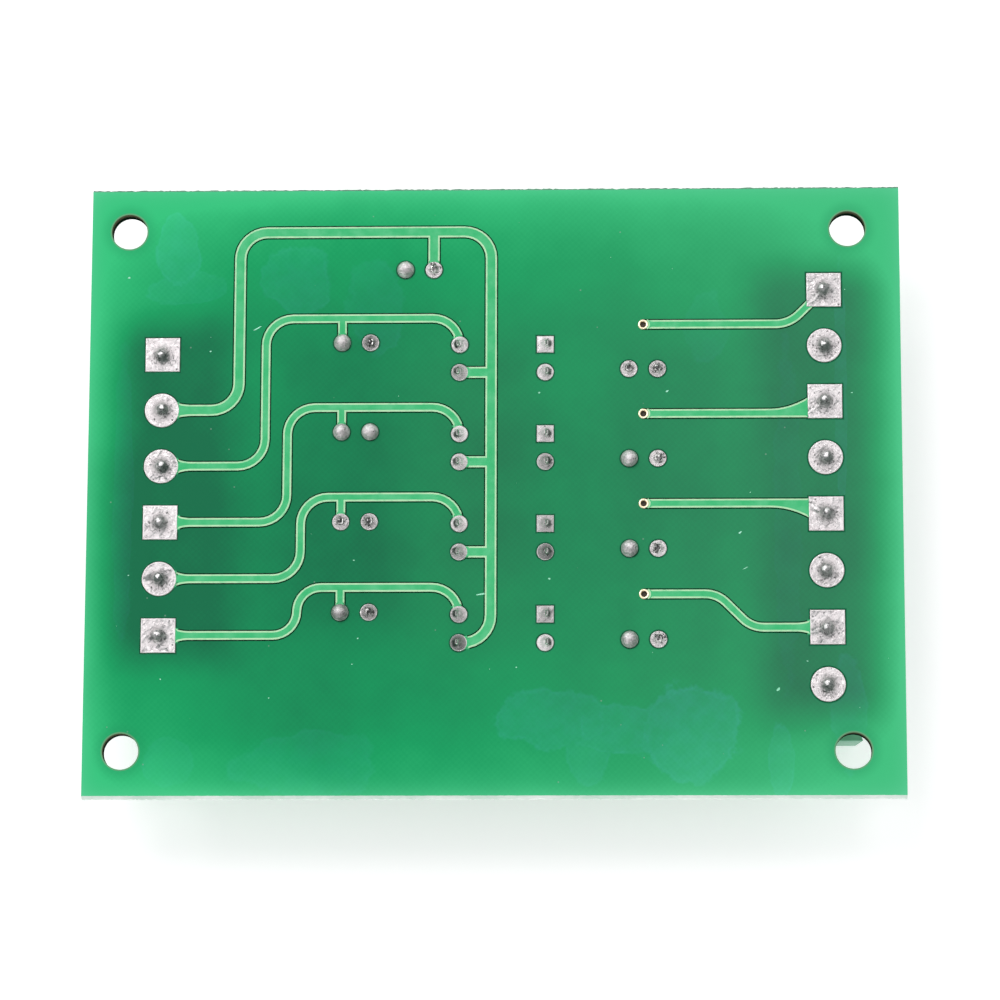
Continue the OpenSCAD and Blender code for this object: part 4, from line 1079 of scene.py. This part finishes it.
bm = bmesh.new()
around = legend["around"] * mm
outlined = [(boxOf(names), around) for names in blockNames.values()]
outlined += [(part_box(name), legend["couplerShare"] * around) for name in couplerNames]
for (low, high), aroundX in outlined:
    centre, reach = (low + high) / 2, (high - low) / 2
    printedRing(bm, centre.x, centre.y, reach.x + aroundX, reach.y + around)
for name in lampNames:
    for cx, cy, half, square in spots(name):
        printedRing(bm, cx, cy, legend["lampR"] * mm, legend["lampR"] * mm, True)
for side in blocks:
    for cx, cy, half, square in spots(side + "_resistors"):
        printedRing(bm, cx, cy, legend["chipX"] * mm, legend["chipY"] * mm)
finishPiece(bm, "legendLines", [inkWhite], "module", (), None)
print("legend built")

# nodes that keep their own shape
paint(["component_side_pads"], padTin)
paint(lampNames, lampRed)
paint([n for n in nodes if "wire_leaf" in n], leafBrass)
print("nodes painted")

# floor, light and camera
stageLook = {
    "floor": (0.94, 0.875, 0.905), "floorPale": (0.95, 0.89, 0.92), "size": 1.6, "lift": 0.42, "world": 0.6,
    "key": 3.1, "fill": 0.6, "under": 2.4, "front": 1.5,
}
bm = bmesh.new()
bmesh.ops.create_grid(bm, x_segments=1, y_segments=1, size=stageLook["size"])
mesh = bpy.data.meshes.new("floor")
bm.to_mesh(mesh)
bm.free()
floor = bpy.data.objects.new("floor", mesh)
bpy.context.scene.collection.objects.link(floor)
floorPale = bpy.data.materials.new("floorPale")
floorPale.use_nodes = True
floorPale.node_tree.nodes.clear()
w = Wires(floorPale.node_tree)
tone = w.blend(cloud(w, 0.02, 2.0, 0.2, 0.8), stageLook["floor"], stageLook["floorPale"])
rays = w.put("ShaderNodeLightPath").outputs
seenBy = ("Is Camera Ray", "Is Glossy Ray", "Is Transmission Ray")
looked = w.gather("MAXIMUM", [rays[kind] for kind in seenBy])
lift = w.shade("Emission", (1, 1, 1, 1), w.times(looked, stageLook["lift"]))
pale = w.shade("AddShader", w.shade("BsdfDiffuse", tone), lift)
behind = w.put("ShaderNodeNewGeometry").outputs["Backfacing"]
gone = w.calc("MAXIMUM", behind, rays["Is Shadow Ray"])
w.put("ShaderNodeOutputMaterial", {0: w.shade("MixShader", gone, pale, w.shade("BsdfTransparent"))})
mesh.materials.append(floorPale)

scene = bpy.context.scene
world = bpy.data.worlds.new("studio")
scene.world = world
world.use_nodes = True
world.node_tree.nodes.clear()
w = Wires(world.node_tree)
path = w.put("ShaderNodeLightPath").outputs
toward = w.put("ShaderNodeTexCoord").outputs["Generated"]
front = w.vector("DOT_PRODUCT", toward, (0.42, -0.80, 0.42))["Value"]
roomSide = w.remap(front, 0.55, 0.92, 1.0, 0.16)  # the unlit side of the room, seen only in reflections
mirrored = w.shade("Background", w.blend(roomSide, (0, 0, 0), (1, 1, 1)), 1.0)
soft = w.shade("Background", (0.96, 0.98, 1.0, 1), stageLook["world"])
white = w.shade("Background", (1, 1, 1, 1), 1.0)
seen = w.calc("MAXIMUM", path["Is Camera Ray"], path["Is Transmission Ray"])
shine = w.shade("MixShader", path["Is Glossy Ray"], soft, mirrored)
w.put("ShaderNodeOutputWorld", {0: w.shade("MixShader", seen, shine, white)})


def softLamp(name, place, aim, size, power):
    lamp = bpy.data.lights.new(name, "AREA")
    lamp.shape = "DISK"
    lamp.size = size
    lamp.energy = power
    holder = bpy.data.objects.new(name, lamp)
    holder.location = place
    holder.rotation_euler = (Vector(aim) - Vector(place)).to_track_quat("-Z", "Y").to_euler()
    scene.collection.objects.link(holder)


middle = (cadBox[0] + cadBox[1]) / 2
softLamp("keyLamp", (-0.30, 0.40, 0.90), middle, 0.45, stageLook["key"])
softLamp("fillLamp", (0.5, 0.2, 0.8), middle, 0.7, stageLook["fill"])
softLamp("frontLamp", (0.1, -0.8, 0.1), middle, 0.4, stageLook["front"])
softLamp("underLamp", (0.0, -0.1, -0.6), middle, 0.6, stageLook["under"])

lens = {
    "place": (0.01145, -0.07194, 0.38607), "axis": (-0.0287, 0.1865, -0.982), "up": (0.0032, 0.9824, 0.1865),
    "focal": 154.4, "sensor": 36.0, "clip": 0.01,
}
camera = bpy.data.objects.new("camera", bpy.data.cameras.new("camera"))
camera.data.lens = lens["focal"]
camera.data.sensor_width = lens["sensor"]
camera.data.clip_start = lens["clip"]
back = -Vector(lens["axis"]).normalized()
right = Vector(lens["up"]).cross(back).normalized()
up = back.cross(right)
camera.matrix_world = Matrix.Translation(lens["place"]) @ Matrix((right, up, back)).transposed().to_4x4()
scene.collection.objects.link(camera)
scene.camera = camera
scene.view_settings.view_transform = "Standard"
print("stage set")
